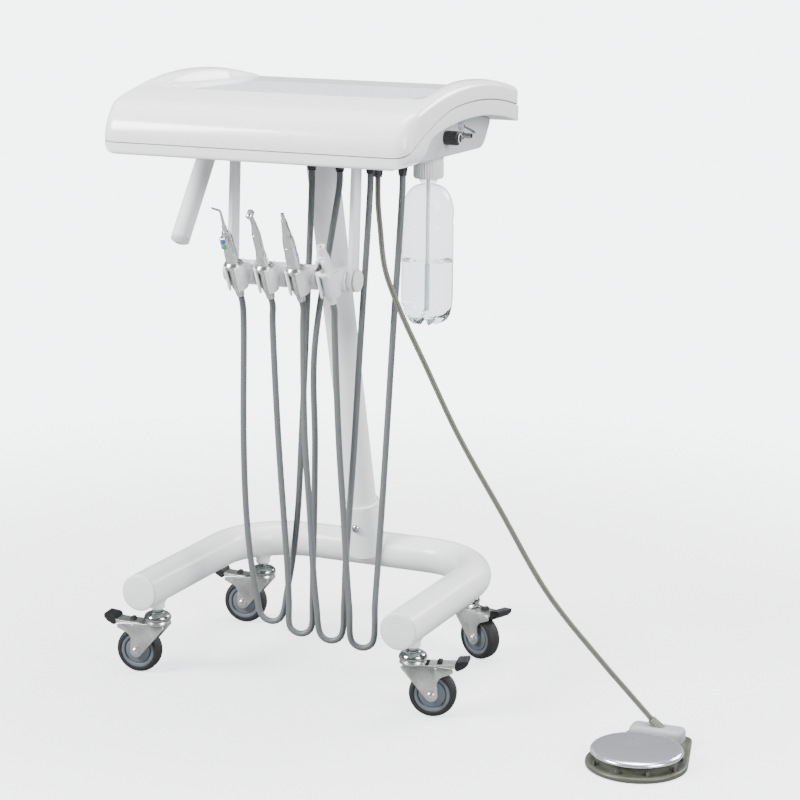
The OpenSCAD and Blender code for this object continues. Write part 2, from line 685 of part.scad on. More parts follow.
// ---- water bottle ----
bottle_r = bottle_d / 2;
bottle_top = housing_z - 44;
bottle_foot = bottle_top - bottle_h;
neck_top = bottle_top + 16;
module bottle_solid(t) {
  rotate_extrude() polygon(concat(
    [[0, bottle_foot + 14 + t], [bottle_r - 22, bottle_foot + 14 + t]],
    arc_pts([bottle_r - 16, bottle_foot + 22], 16 - t, -70, 0, 5),
    [[bottle_r - t, bottle_top - 60], [bottle_r - 1.5 - t, bottle_top - 58], [bottle_r - t, bottle_top - 55]],
    arc_pts([bottle_r - 36, bottle_top - 40], 36 - t, 0, 76, 7),
    [[neck_d / 2 - 2 - t, bottle_top], [neck_d / 2 - 2 - t, neck_top + t], [0, neck_top + t]]));
  for (a = [0:72:288]) rotate([0, 0, a + 18]) translate([bottle_r - 19, 0, bottle_foot + 13]) sphere(13 - t);
}
module water_bottle() color("azure", 0.4) translate([bottle_x, -bottle_y, 0]) difference() {
  union() {
    bottle_solid(0);
    translate([0, 0, bottle_top + 3]) cylinder(d = neck_d, h = 3);
  }
  bottle_solid(bottle_wall);
  translate([0, 0, neck_top - 1]) cylinder(d = neck_d - 4 - 2 * bottle_wall, h = 10);
}

module bottle_cap() color("gainsboro") translate([bottle_x, -bottle_y, 0]) difference() {
  union() {
    translate([0, 0, bottle_top + 8]) cylinder(d = 46, h = housing_z - bottle_top - 8);
    for (a = [0:20:340]) rotate([0, 0, a]) translate([23, 0, bottle_top + 12]) cylinder(d = 3, h = 18);
    translate([0, 0, housing_z - 1]) cylinder(d = cap_pin, h = 9);
  }
  translate([0, 0, bottle_top + 6])
    cylinder(d = neck_d - 4 + 2 * run_gap, h = neck_top - bottle_top - 6 + 1);
  translate([0, 0, bottle_top + 6]) cylinder(d = pickup_d + 2 * run_gap, h = 80);
}

pickup_d = 6;
module pickup_tube() color("ivory") translate([bottle_x, -bottle_y, 0]) difference() {
  translate([0, 0, bottle_foot + 26]) cylinder(d = pickup_d, h = neck_top + 10 - bottle_foot - 26);
  translate([0, 0, bottle_foot + 20]) cylinder(d = pickup_d - 2, h = 300);
}

// ---- holder bar, arms and holders ----
module holder_bar() color(steel) translate([-bar_len / 2, -bar_y, bar_z]) rotate([0, 90, 0]) difference() {
  cylinder(d = bar_d, h = bar_len);
  translate([0, 0, -1]) cylinder(d = bar_d - 5, h = bar_len + 2);
}
module bar_end_caps() color(white) for (s = [-1, 1]) translate([s * bar_len / 2, -bar_y, bar_z])
  rotate([0, s * 90, 0]) {
    cylinder(d = bar_d + 7, h = 3);
    translate([0, 0, -9]) cylinder(d = bar_d - 5 - 0.2, h = 9 + eps);
    translate([0, 0, 3 - eps]) cylinder(d1 = bar_d + 5, d2 = bar_d - 3, h = 2);
  }
module bar_arms() color(white) for (s = [-1, 1]) translate([s * arm_x - arm_t / 2, 0, 0]) difference() {
  union() {
    translate([0, -bar_y, bar_z]) rotate([0, 90, 0]) cylinder(d = bar_d + 8, h = arm_t);
    rotate([90, 0, 90]) linear_extrude(arm_t) polygon([[-bar_y - 13, bar_z + 8], [-bar_y + 13, bar_z + 8],
      [-bar_y + 22, housing_z - 5], [-bar_y + 30, housing_z],
      [-bar_y - 5, housing_z], [-bar_y - 2, housing_z - 5]]);
  }
  translate([-1, -bar_y, bar_z]) rotate([0, 90, 0]) cylinder(d = bar_d + 2 * run_gap, h = arm_t + 2);
}

// along an instrument's axis, with z along it and x to the right
module at_grip(i, d) {
  translate([holder_x[i], 0, 0]) translate(grip_base + u * d) rotate([lean, 0, 0]) children();
}

module holder(i) color(white) difference() {
  union() {
    translate([holder_x[i] - holder_w / 2, -bar_y, bar_z]) rotate([0, 90, 0])
      cylinder(d = bar_d + 11, h = holder_w);
    at_grip(i, -6) cylinder(d = cradle_d + 2 * cradle_wall, h = cradle_h);
    at_grip(i, -4) translate([-9, 0, 0]) cube([18, axis_back - bar_d / 2 - 1, cradle_h - 10]);
    at_grip(i, -2) translate([2 - holder_w / 2, 4, 0]) cube([holder_w - 4, axis_back - bar_d / 2 - 5, 20]);
  }
  translate([holder_x[i] - holder_w, -bar_y, bar_z]) rotate([0, 90, 0])
    cylinder(d = bar_d + 2 * run_gap, h = 2 * holder_w);
  at_grip(i, -20) cylinder(d = cradle_d, h = cradle_h + 30);
  at_grip(i, cradle_h - 14) cylinder(d1 = cradle_d - 2, d2 = cradle_d + 7, h = 9);
  at_grip(i, -20) translate([-cradle_slot / 2, -40, 0]) cube([cradle_slot, 40, cradle_h + 30]);
}
module holder_1() holder(0);
module holder_2() holder(1);
module holder_3() holder(2);
module holder_4() holder(3);

// a turned handle: tail for the hose, grip with a collar that rests on the cradle, body above it
rest_d = cradle_d + 4.5;
rest_at = cradle_h - 12 + rest_d - cradle_d + fit + 0.1;
function handle_profile(top_r, len) = [[0, -exit_drop], [hose_d / 2 + 1, -exit_drop],
  [hose_d / 2 + 2.5, -exit_drop + 12],
  [grip_d / 2, -exit_drop + 18], [grip_d / 2, rest_at - 7], [rest_d / 2, rest_at], [rest_d / 2, rest_at + 3],
  [grip_d / 2, rest_at + 6], [top_r + 1, rest_at + 24], [top_r, rest_at + 30], [top_r, len], [0, len]];

syringe_len = 84;
module syringe_body() color(steel) at_grip(0, 0) difference() {
  union() {
    rotate_extrude() polygon(handle_profile(9, syringe_len));
    translate([0, 0, syringe_len - eps]) cylinder(d1 = 18, d2 = 11, h = 12);
    translate([-7, -13, syringe_len - 14]) cube([14, 14, 20]);
  }
  for (s = [0, 1]) translate([0, 0, syringe_len - 9 + 10 * s]) rotate([90, 0, 0]) cylinder(d = 6.4, h = 30);
}
module syringe_nozzle() color(steel) at_grip(0, syringe_len + 12) {
  cylinder(d = 8, h = 10);
  translate([0, 0, 10 - eps]) cylinder(d1 = 6, d2 = 4, h = 22);
  translate([0, 0, 32 - 0.4]) rotate([50, 0, 0]) cylinder(d = 3.6, h = 34);
}
module button(k) at_grip(0, syringe_len - 9 + 10 * k) rotate([90, 0, 0]) translate([0, 0, 8]) {
  cylinder(d = 6.4 - 2 * run_gap, h = 7);
  translate([0, 0, 5 + 1.5]) cylinder(d = 7.5, h = 2.5);
}
module air_button() color("royalblue") button(1);
module water_button() color("seagreen") button(0);

module turbine_handpiece() color(steel) at_grip(1, 0) {
  rotate_extrude() polygon(handle_profile(7, 96));
  translate([0, 0, 96 - eps]) cylinder(d1 = 14, d2 = 8, h = 24);
  translate([0, 0, 119]) rotate([22, 0, 0]) {
    cylinder(d1 = 8, d2 = 7, h = 14);
    translate([0, 9, 14]) rotate([90, 0, 0]) cylinder(d = 11, h = 14);
  }
}
module motor_handpiece() color(steel) at_grip(2, 0) {
  rotate_extrude() polygon(handle_profile(10, 78));
  translate([0, 0, 78 - eps]) cylinder(d1 = 20, d2 = 15, h = 20);
  translate([0, 0, 98 - 2 * eps]) cylinder(d1 = 15, d2 = 9, h = 26);
  translate([0, 0, 124 - 3 * eps]) cylinder(d = 6, h = 12);
}
suction_len = 66;
module suction_handle() color("gainsboro") at_grip(3, 0) difference() {
  union() {
    rotate_extrude() polygon(handle_profile(9.5, suction_len));
    translate([-8, -15, suction_len - 22]) cube([16, 14, 18]);
    translate([0, 0, suction_len - eps]) cylinder(d = 15, h = 16);
  }
  translate([-3.2, -20, suction_len - 23]) cube([6.4, 12, 20]);
  translate([0, 0, suction_len + 2]) cylinder(d = 9, h = 20);
  lever_bore(3.1);
}
module lever_bore(d) translate([-10, -12, suction_len - 13]) rotate([0, 90, 0]) cylinder(d = d, h = 20);
module suction_lever() color("dimgray") at_grip(3, 0) {
  translate([-2.8, -12, suction_len - 13]) rotate([0, 90, 0]) cylinder(d = 7, h = 5.6);
  translate([-2.8, -28, suction_len - 15]) cube([5.6, 16, 4]);
  translate([-7.5, -12, suction_len - 13]) rotate([0, 90, 0]) cylinder(d = 3, h = 15);
}

// ---- hoses ----
module hose(i, route) color("darkgray") sweep(concat(
  [hose_exit + [holder_x[i], 0, 0], hose_exit + [holder_x[i], 0, 0] - u * 14], route,
  [[outlet_x[i], outlet_y, gland_z - 16], [outlet_x[i], outlet_y, gland_z]]), hose_d / 2, 8);
module syringe_hose() hose(0, syringe_route);
module turbine_hose() hose(1, turbine_route);
module motor_hose() hose(2, motor_route);
module suction_hose() hose(3, suction_route);
module foot_hose() color("darkgray") sweep(concat(
  [[foot_outlet[0], foot_outlet[1], gland_z], [foot_outlet[0], foot_outlet[1], gland_z - 14]],
  foot_route, [foot_end + relief_dir * 14, foot_end]), foot_hose_d / 2, 8);

module gland(x, y) translate([x, y, gland_z]) {
  cylinder(d1 = hose_d + 3, d2 = hose_d + 7, h = gland_h - 6);
  translate([0, 0, gland_h - 6 - eps]) cylinder(d = 20, h = 6 + eps, $fn = 6);
  translate([0, 0, gland_h - 1]) cylinder(d = gland_pin, h = 8);
}
module hose_glands() color("dimgray") {
  for (i = [0:3]) gland(outlet_x[i], outlet_y);
  gland(foot_outlet[0], foot_outlet[1]);
}

// ---- handle ----
handle_top = [-handle_x, -248, housing_z];
handle_dir = [0, -sin(handle_lean), -cos(handle_lean)];
module at_handle(d)
  translate(handle_top + handle_dir * d) rotate([-handle_lean, 0, 0]) mirror([0, 0, 1]) children();
module handle_tube() color(white) {
  difference() {
    at_handle(-30) difference() {
      cylinder(d = handle_d, h = handle_len + 30);
      translate([0, 0, 45]) cylinder(d = handle_d - 5, h = handle_len);
    }
    translate([-handle_x - 60, -360, housing_z - 6 + eps]) cube([120, 200, 60]);
  }
  translate([-handle_x, -248 - 4, housing_z - 6]) linear_extrude(6) round_rect(50, 60, 10);
}
module handle_cap() color("gainsboro") at_handle(handle_len) {
  translate([0, 0, -12]) cylinder(d = handle_d - 5 - 0.2, h = 12 + eps);
  cylinder(d = handle_d, h = 2);
  translate([0, 0, 2]) intersection() {
    translate([0, 0, -handle_d * 0.6]) sphere(handle_d * 0.78);
    cylinder(d = handle_d, h = 20);
  }
}

// ---- foot control ----
module at_foot() translate([foot_c[0], foot_c[1], 0]) rotate([0, 0, foot_turn]) children();
post_d = 16;
module foot_base() color("darkkhaki") at_foot() {
  linear_extrude(foot_base_h) {
    circle(d = foot_d);
    translate(foot_block) round_rect(block_w + 18, block_d + 14, 14);
    polygon([[-foot_d / 2 + 6, 20], [foot_d / 2 - 6, 20], [foot_block[0] + block_w / 2 + 6, foot_block[1]],
      [foot_block[0] - block_w / 2 - 6, foot_block[1]]]);
  }
  translate([0, 0, foot_base_h - 1]) cylinder(d = post_d, h = disc_top - 2.5 - disc_travel - foot_base_h);
  translate([0, 0, foot_base_h - 1]) difference() {
    cylinder(d = disc_d - 16, h = foot_ring_h + 1);
    translate([0, 0, -1]) cylinder(d = disc_d - 24, h = foot_ring_h + 4);
  }
}
module foot_disc() color(steel) at_foot() difference() {
  union() {
    difference() {
      union() {
        translate([0, 0, disc_low]) cylinder(d = disc_d, h = disc_h);
        translate([0, 0, disc_top - 2 - eps]) cylinder(d1 = disc_d, d2 = disc_d - 5, h = 2 + eps);
      }
      translate([0, 0, disc_low - 1]) cylinder(d = disc_d - 6, h = roof_z - disc_low + 1);
    }
    translate([0, 0, disc_low - 6]) cylinder(d = post_d + 8, h = disc_h + 5);
  }
  translate([0, 0, disc_low - 7]) cylinder(d = post_d + 2 * run_gap, h = disc_top - disc_low + 5.5);
}
spring_wire = 2;
spring_turns = 4;
spring_low = foot_base_h + spring_wire / 2 + fit;
spring_high = roof_z - spring_wire / 2 - fit;
function spring_pts() = [for (i = [0:8 * spring_turns])
  [22 * cos(i * 45), 22 * sin(i * 45), spring_low + (spring_high - spring_low) * i / 8 / spring_turns]];
module foot_spring() color(steel) at_foot() sweep(spring_pts(), spring_wire / 2, 8);
module foot_hose_cover() color("gainsboro") {
  at_foot() translate([foot_block[0], foot_block[1], foot_base_h]) {
    linear_extrude(block_h - 6) round_rect(block_w, block_d, 12);
    translate([0, 0, block_h - 6 - eps]) linear_extrude(6) round_rect(block_w - 6, block_d - 6, 9);
  }
  translate(relief_foot - relief_dir * 6) rotate([0, -relief_lean, 0])
    cylinder(d1 = foot_hose_d + 8, d2 = foot_hose_d + 3, h = relief_len + 6);
}

base_frame();
leg_end_caps();
collar_bolt();
column_tube();
flange_screws();
caster_stems();
front_left_fork();
front_left_hub();
front_left_tyre();
front_left_brake();
front_right_fork();
front_right_hub();
front_right_tyre();
front_right_brake();
rear_left_fork();
rear_left_hub();
rear_left_tyre();
rear_left_brake();
rear_right_fork();
rear_right_hub();
rear_right_tyre();
rear_right_brake();
tray_cover();
tray_mat();
tray_seal();
tray_base();
control_housing();
handle_tube();
handle_cap();
holder_bar();
bar_end_caps();
bar_arms();
holder_1();
holder_2();
holder_3();
holder_4();
syringe_body();
syringe_nozzle();
air_button();
water_button();
turbine_handpiece();
motor_handpiece();
suction_handle();
suction_lever();
syringe_hose();
turbine_hose();
motor_hose();
suction_hose();
hose_glands();
bottle_cap();
water_bottle();
pickup_tube();
control_knob();
air_inlet();
toggle_lever();
foot_hose();
foot_base();
foot_disc();
foot_spring();
foot_hose_cover();
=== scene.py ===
import math
import bmesh
import bpy
import numpy as np
from mathutils import Matrix, Vector
from mathutils.geometry import convex_hull_2d


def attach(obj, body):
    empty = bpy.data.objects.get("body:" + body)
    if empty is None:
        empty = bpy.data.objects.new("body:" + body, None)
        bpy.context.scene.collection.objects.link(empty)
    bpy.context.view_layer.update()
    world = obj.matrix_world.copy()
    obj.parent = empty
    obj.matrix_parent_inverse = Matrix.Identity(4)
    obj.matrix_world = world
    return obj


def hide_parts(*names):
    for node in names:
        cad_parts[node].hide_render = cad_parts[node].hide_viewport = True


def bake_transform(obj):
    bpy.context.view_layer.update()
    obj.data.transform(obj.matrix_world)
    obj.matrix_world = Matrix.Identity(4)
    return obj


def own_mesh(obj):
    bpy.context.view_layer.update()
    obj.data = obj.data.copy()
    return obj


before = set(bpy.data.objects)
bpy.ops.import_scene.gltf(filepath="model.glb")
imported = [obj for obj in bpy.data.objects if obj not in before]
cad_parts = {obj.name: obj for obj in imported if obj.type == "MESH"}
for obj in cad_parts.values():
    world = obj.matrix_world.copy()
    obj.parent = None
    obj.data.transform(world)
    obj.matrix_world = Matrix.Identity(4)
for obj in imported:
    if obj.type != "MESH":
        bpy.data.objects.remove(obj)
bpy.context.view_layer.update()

# Looks of the portable dental unit. Lengths are written in millimetres and become metres in addPiece.
mm = 0.001
sin = lambda degrees: math.sin(math.radians(degrees))
cos = lambda degrees: math.cos(math.radians(degrees))
print("frame loaded:", len(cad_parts), "nodes")

# camera and studio; the lamps' places are in metres
cameraSettings = {"target": (141.5, -208.0, 466.5), "distance": 3644.6, "azimuth": 23.73, "elevation": 12.46,
                  "roll": 0.6, "lens": 103.5, "film": 36, "farthest": 50}
lights = {"key": {"at": (-2.8, -3.2, 3.0), "size": 1.6, "watts": 540},
          "fill": {"at": (3.8, -1.6, 2.2), "size": 2.0, "watts": 215},
          "top": {"at": (0.4, 0.3, 4.4), "size": 2.4, "watts": 310},
          "rim": {"at": (2.2, 3.2, 2.4), "size": 1.6, "watts": 150}}
lampsFace = (0.15, -0.2, 0.5)
# the camera sees a bright backdrop, glass a softer one; what lights and mirrors in the parts is dimmer
backdrop = {"seen": 6, "glass": 3, "lit": 0.25, "shade": (0.93, 0.965, 1.0, 1)}


def addToScene(name, data):
    thing = bpy.data.objects.new(name, data)
    bpy.context.scene.collection.objects.link(thing)
    return thing


def addCamera(s):
    az, el = s["azimuth"], s["elevation"]
    back = Vector((sin(az) * cos(el), -cos(az) * cos(el), sin(el)))
    level = Vector((cos(az), sin(az), 0))
    upright = back.cross(level)
    right = level * cos(s["roll"]) + upright * sin(s["roll"])
    up = upright * cos(s["roll"]) - level * sin(s["roll"])
    data = bpy.data.cameras.new("camera")
    data.lens, data.sensor_width, data.clip_end = s["lens"], s["film"], s["farthest"]
    camera = addToScene("camera", data)
    turn = Matrix((right, up, back)).transposed().to_4x4()
    camera.matrix_world = Matrix.Translation((Vector(s["target"]) + back * s["distance"]) * mm) @ turn
    bpy.context.scene.camera = camera


def addLight(name, s):
    lamp = bpy.data.lights.new(name, "AREA")
    lamp.size, lamp.energy = s["size"], s["watts"]
    light = addToScene(name, lamp)
    light.location = s["at"]
    light.rotation_euler = (Vector(lampsFace) - Vector(s["at"])).to_track_quat("-Z", "Y").to_euler()


def newNode(tree, kind, values=None):
    node = tree.nodes.new("ShaderNode" + kind)
    for entry, value in (values or {}).items():
        node.inputs[entry].default_value = value
    return node


def join(tree, *links):
    for source, output, target, entry in links:
        tree.links.new(source.outputs[output], target.inputs[entry])


def strengthBy(tree, s):
    # strength = lit + (seen - lit) x camera ray + (glass - lit) x ray through glass
    path = newNode(tree, "LightPath")
    bySight = newNode(tree, "Math", {1: s["seen"] - s["lit"], 2: s["lit"]})
    byGlass = newNode(tree, "Math", {1: s["glass"] - s["lit"]})
    bySight.operation = byGlass.operation = "MULTIPLY_ADD"
    join(tree, (path, "Is Camera Ray", bySight, 0), (path, "Is Transmission Ray", byGlass, 0),
         (bySight, "Value", byGlass, 2))
    return byGlass


def addWorld(s):
    world = bpy.context.scene.world or bpy.data.worlds.new("studio")
    bpy.context.scene.world = world
    world.use_nodes = True
    tree = world.node_tree
    tree.nodes.clear()
    sky, output = newNode(tree, "Background", {"Color": s["shade"]}), newNode(tree, "OutputWorld")
    join(tree, (strengthBy(tree, s), "Value", sky, "Strength"), (sky, "Background", output, "Surface"))


addCamera(cameraSettings)
for lightName, lightSettings in lights.items():
    addLight(lightName, lightSettings)
addWorld(backdrop)
print("camera and lights set")


# materials: every pattern reads Object coordinates, in metres
def newMaterial(name, color, rough, metal=0.0, spread=0.03, grain=900, bump=0.02, roughSpread=0.05, coat=0.0,
                stretch=(1, 1, 1), blotch=14, transmission=0.0, ior=1.45, sheen=0.0, tint=None):
    # a slow noise drifts the colour from tint to color, and a fine one gives roughness and relief
    material = bpy.data.materials.new(name)
    material.use_nodes = True
    tree = material.node_tree
    shader, place = tree.nodes["Principled BSDF"], newNode(tree, "TexCoord")
    mapping = newNode(tree, "Mapping", {"Scale": stretch})
    drift = newNode(tree, "TexNoise", {"Scale": blotch, "Detail": 4})
    fine = newNode(tree, "TexNoise", {"Scale": grain, "Detail": 3})
    ramp = newNode(tree, "ValToRGB")
    low = [c * (1 - spread) for c in (tint or color)]
    high = [min(1, c * (1 + spread)) for c in color]
    for stop, position, shade in zip(ramp.color_ramp.elements, (0.32, 0.68), (low, high)):
        stop.position, stop.color = position, (*shade, 1)
    wear = newNode(tree, "MapRange", {"To Min": max(0.02, rough - roughSpread), "To Max": rough + roughSpread})
    relief = newNode(tree, "Bump", {"Strength": min(1, bump * 10), "Distance": 0.0002})
    join(tree, (place, "Object", mapping, "Vector"), (mapping, "Vector", fine, "Vector"),
         (place, "Object", drift, "Vector"), (drift, "Fac", ramp, "Fac"), (ramp, "Color", shader, "Base Color"),
         (fine, "Fac", wear, "Value"), (wear, "Result", shader, "Roughness"),
         (fine, "Fac", relief, "Height"), (relief, "Normal", shader, "Normal"))
    for entry, value in (("Metallic", metal), ("Coat Weight", coat), ("Coat Roughness", 0.08), ("IOR", ior),
                         ("Transmission Weight", transmission), ("Sheen Weight", sheen)):
        shader.inputs[entry].default_value = value
    return material


finishes = {
    "shellGloss": dict(color=(0.90, 0.905, 0.92), rough=0.2, spread=0.008, grain=420, bump=0.012, coat=0.35),
    "powderWhite": dict(color=(0.84, 0.855, 0.865), rough=0.3, spread=0.01, grain=700, bump=0.03, coat=0.2),
    "holderWhite": dict(color=(0.82, 0.83, 0.84), rough=0.28, spread=0.01, grain=600, coat=0.15),
    "capGrey": dict(color=(0.78, 0.80, 0.795), rough=0.42, spread=0.012, grain=1400, bump=0.05),
    "matSilicone": dict(color=(0.50, 0.52, 0.54), rough=0.55, spread=0.02, grain=2600, bump=0.08, sheen=0.1),
    "sealGrey": dict(color=(0.20, 0.21, 0.22), rough=0.6, grain=2000, bump=0.05),
    "housingGrey": dict(color=(0.52, 0.545, 0.57), rough=0.38, spread=0.012, grain=1500, bump=0.05),
    "steelSatin": dict(color=(0.66, 0.67, 0.675), rough=0.24, metal=1, grain=1100, stretch=(1, 1, 0.08)),
    "steelDark": dict(color=(0.30, 0.31, 0.32), rough=0.25, metal=1, grain=1100),
    "coverGrey": dict(color=(0.31, 0.325, 0.335), rough=0.4, spread=0.012, grain=1500, bump=0.05),
    "zincPlate": dict(color=(0.66, 0.70, 0.69), rough=0.3, metal=1, spread=0.07, bump=0.035, roughSpread=0.09,
                      blotch=60, tint=(0.58, 0.585, 0.54)),
    "zincDome": dict(color=(0.38, 0.405, 0.40), rough=0.15, metal=1, spread=0.05, grain=700, bump=0.015, blotch=80),
    "hubBlueGrey": dict(color=(0.115, 0.135, 0.158), rough=0.42, grain=1800, bump=0.05),
    "tyreRubber": dict(color=(0.014, 0.015, 0.016), rough=0.62, spread=0.08, grain=2200, bump=0.12, blotch=70),
    "pedalPlastic": dict(color=(0.010, 0.011, 0.012), rough=0.65, spread=0.08, grain=1300, bump=0.3),
    "blueButton": dict(color=(0.03, 0.12, 0.42), rough=0.3, grain=1500, bump=0.03),
    "greenButton": dict(color=(0.03, 0.30, 0.12), rough=0.3, grain=1500, bump=0.03),
    "blackPlastic": dict(color=(0.02, 0.021, 0.022), rough=0.42, spread=0.05, grain=1600, bump=0.08),
    "hoseSilicone": dict(color=(0.125, 0.136, 0.14), rough=0.46, grain=1100, bump=0.012, blotch=26),
    "twinHose": dict(color=(0.125, 0.128, 0.112), rough=0.46, grain=1100, bump=0.012, blotch=26),
    "clearPet": dict(color=(0.97, 0.985, 0.99), rough=0.04, spread=0.004, grain=300, bump=0.01, transmission=1,
                     ior=1.3, roughSpread=0.02),
    "water": dict(color=(0.95, 0.985, 1.0), rough=0.02, spread=0.002, grain=40, bump=0.002, transmission=1,
                  ior=1.33, roughSpread=0.0),
    "tubeClear": dict(color=(0.80, 0.84, 0.86), rough=0.25, spread=0.01, grain=1500, transmission=0.4),
    "capWhite": dict(color=(0.76, 0.77, 0.775), rough=0.35, spread=0.01, grain=1400, bump=0.04),
    "footOlive": dict(color=(0.07, 0.073, 0.056), rough=0.36, grain=1700, bump=0.05),
    "discChrome": dict(color=(0.80, 0.81, 0.90), rough=0.2, metal=0.86, spread=0.012, grain=500, bump=0.0005,
                       roughSpread=0.015),
}
finish = {name: newMaterial(name, **values) for name, values in finishes.items()}
print("materials made:", len(finish))


# surfaces: arrays of points in millimetres, joined by quads
def gridShape(points, around=True, along=False, caps=(False, False)):
    # points[i, j] is step i along the shape and step j around it; each quad joins (i, j) to (i+1, j+1)
    rows, columns = points.shape[:2]
    i, j = np.meshgrid(np.arange(rows if along else rows - 1), np.arange(columns if around else columns - 1),
                       indexing="ij")
    nextI, nextJ = (i + 1) % rows, (j + 1) % columns
    quads = np.stack([i * columns + j, i * columns + nextJ, nextI * columns + nextJ, nextI * columns + j], -1)
    faces = quads.reshape(-1, 4).tolist()
    if caps[0]:
        faces.append(list(range(columns))[::-1])
    if caps[1]:
        faces.append([(rows - 1) * columns + k for k in range(columns)])
    return points.reshape(-1, 3), faces


def turned(profile, segments=64):
    # the profile's (radius, height) pairs turned round z: (r cos a, r sin a, h) for each angle a
    profile = np.asarray(profile, float)
    angles = np.radians(np.linspace(0, 360, segments, endpoint=False))
    return gridShape(np.stack([np.outer(profile[:, 0], np.cos(angles)), np.outer(profile[:, 0], np.sin(angles)),
                               np.repeat(profile[:, 1:2], len(angles), 1)], -1))


def waved(rows, angles, wave):
    # rings round z, one for each (radius, height, share): the radius grows by that share of the wave
    return np.stack([np.column_stack([(r + share * wave) * np.cos(angles), (r + share * wave) * np.sin(angles),
                                      0 * angles + height]) for r, height, share in rows])


def rounded(profile, radius, steps=4, closed=False):
    # each corner of a line of points becomes a quadratic curve that starts and ends radius away from it
    profile = np.asarray(profile, float)
    count = len(profile)
    radii = np.broadcast_to(np.asarray(radius, float), (count,))
    pieces = [] if closed else [profile[:1]]
    for k in range(0 if closed else 1, count if closed else count - 1):
        here, before, after = profile[k], profile[k - 1], profile[(k + 1) % count]
        lengthIn, lengthOut = np.linalg.norm(before - here), np.linalg.norm(after - here)
        cut = min(radii[k], 0.48 * lengthIn, 0.48 * lengthOut)
        if cut < 1e-6:
            pieces.append(profile[k:k + 1])
            continue
        start, end = here + (before - here) * cut / lengthIn, here + (after - here) * cut / lengthOut
        t = np.linspace(0, 1, steps + 1)[:, None]
        pieces.append((1 - t) ** 2 * start + 2 * t * (1 - t) * here + t ** 2 * end)
    if not closed:
        pieces.append(profile[-1:])
    return np.concatenate(pieces)


def atRuns(line, count):
    # points at count even steps along a line's length
    run = np.concatenate([[0], np.cumsum(np.linalg.norm(np.diff(line, axis=0), axis=1))])
    steps = np.linspace(0, run[-1], count(run[-1]) + 1)
    return np.stack([np.interp(steps, run, line[:, axis]) for axis in range(line.shape[1])], -1)


def evenly(line, spacing):
    return atRuns(line, lambda length: int(length / spacing))


def evenRing(outline, spacing):
    return evenly(np.vstack([outline, outline[:1]]), spacing)[:-1]


def smoothPath(route, spacing):
    # Catmull-Rom curve through the route, then points at even steps along its length
    route = np.asarray(route, float)
    ends = np.vstack([2 * route[0] - route[1], route, 2 * route[-1] - route[-2]])
    knots = np.concatenate([[0], np.cumsum(np.sqrt(np.linalg.norm(np.diff(ends, axis=0), axis=1)))])
    pieces = []
    for k in range(1, len(ends) - 2):
        t = np.linspace(knots[k], knots[k + 1], 24, endpoint=k == len(ends) - 3)[:, None]
        line = [((knots[k + m] - t) * ends[k + m - 1] + (t - knots[k + m - 1]) * ends[k + m])
                / (knots[k + m] - knots[k + m - 1]) for m in (0, 1, 2)]
        curve = [((knots[k + m + 1] - t) * line[m] + (t - knots[k + m - 1]) * line[m + 1])
                 / (knots[k + m + 1] - knots[k + m - 1]) for m in (0, 1)]
        pieces.append(((knots[k + 1] - t) * curve[0] + (t - knots[k]) * curve[1]) / (knots[k + 1] - knots[k]))
    return atRuns(np.concatenate(pieces), lambda length: max(2, int(length / spacing)))


def carried(path, section, grow=1.0):
    # the section's (side, up) pairs carried along the path with as little turning as possible, times grow
    path, section = np.asarray(path, float), np.asarray(section, float)
    heading = np.gradient(path, axis=0)
    heading /= np.linalg.norm(heading, axis=1)[:, None]
    side = np.cross(heading[0], (0, 1, 0) if abs(heading[0][2]) > 0.9 else (0, 0, 1))
    sides = []
    for forward in heading:
        side = side - forward * side.dot(forward)
        side = side / np.linalg.norm(side)
        sides.append(side)
    sides = np.array(sides)
    ups = np.cross(heading, sides)
    scale = np.broadcast_to(np.asarray(grow, float), (len(path),))
    return gridShape(path[:, None] + scale[:, None, None] * (sides[:, None] * section[None, :, :1]
                                                             + ups[:, None] * section[None, :, 1:]), caps=(True, True))


def circle(radius, steps=24):
    angles = np.linspace(0, 2 * np.pi, steps, endpoint=False)
    return np.stack([radius * np.cos(angles), radius * np.sin(angles)], -1)


def arcPoints(centre, radius, start, end, steps):
    angles = np.radians(np.linspace(start, end, steps))
    return np.stack([centre[0] + radius * np.cos(angles), centre[1] + radius * np.sin(angles)], -1)


def placed(shape, at=(0, 0, 0), turn=None):
    # turn is a 3 by 3 array whose columns are the shape's own x, y and z directions
    points, faces = shape
    points = np.asarray(points, float)
    return (points @ np.asarray(turn, float).T if turn is not None else points) + np.asarray(at, float), faces


def turnTo(zAxis, xHint=(1, 0, 0)):
    # columns of a turned frame: z lies along zAxis and x is as near to xHint as it can be
    z = np.asarray(zAxis, float) / np.linalg.norm(zAxis)
    x = np.asarray(xHint, float) - z * np.dot(z, xHint)
    x = x / np.linalg.norm(x)
    return np.stack([x, np.cross(z, x), z], 1)


def aboutZ(degrees):
    return np.array([[cos(degrees), -sin(degrees), 0], [sin(degrees), cos(degrees), 0], [0, 0, 1]])


def inwardOf(outline):
    # unit normals of a closed outline, pointing inwards
    tangent = np.roll(outline, -1, 0) - np.roll(outline, 1, 0)
    tangent /= np.maximum(np.linalg.norm(tangent, axis=1), 1e-9)[:, None]
    following = np.roll(outline, -1, 0)
    area = np.sum(outline[:, 0] * following[:, 1] - following[:, 0] * outline[:, 1])
    return np.stack([-tangent[:, 1], tangent[:, 0]], -1) * np.sign(area)


def slab(outline, rows, caps=(True, True)):
    # a closed outline, repeated at each (inset, height) row and inset along its own normals
    outline = np.asarray(outline, float)
    inward = inwardOf(outline)
    return gridShape(np.stack([np.column_stack([outline + inward * inset, np.full(len(outline), height)])
                               for inset, height in rows]), caps=caps)


def endRings(points, count):
    # the first and the last ring of a slab of count points around
    return points.reshape(-1, count, 3)[[0, -1]]


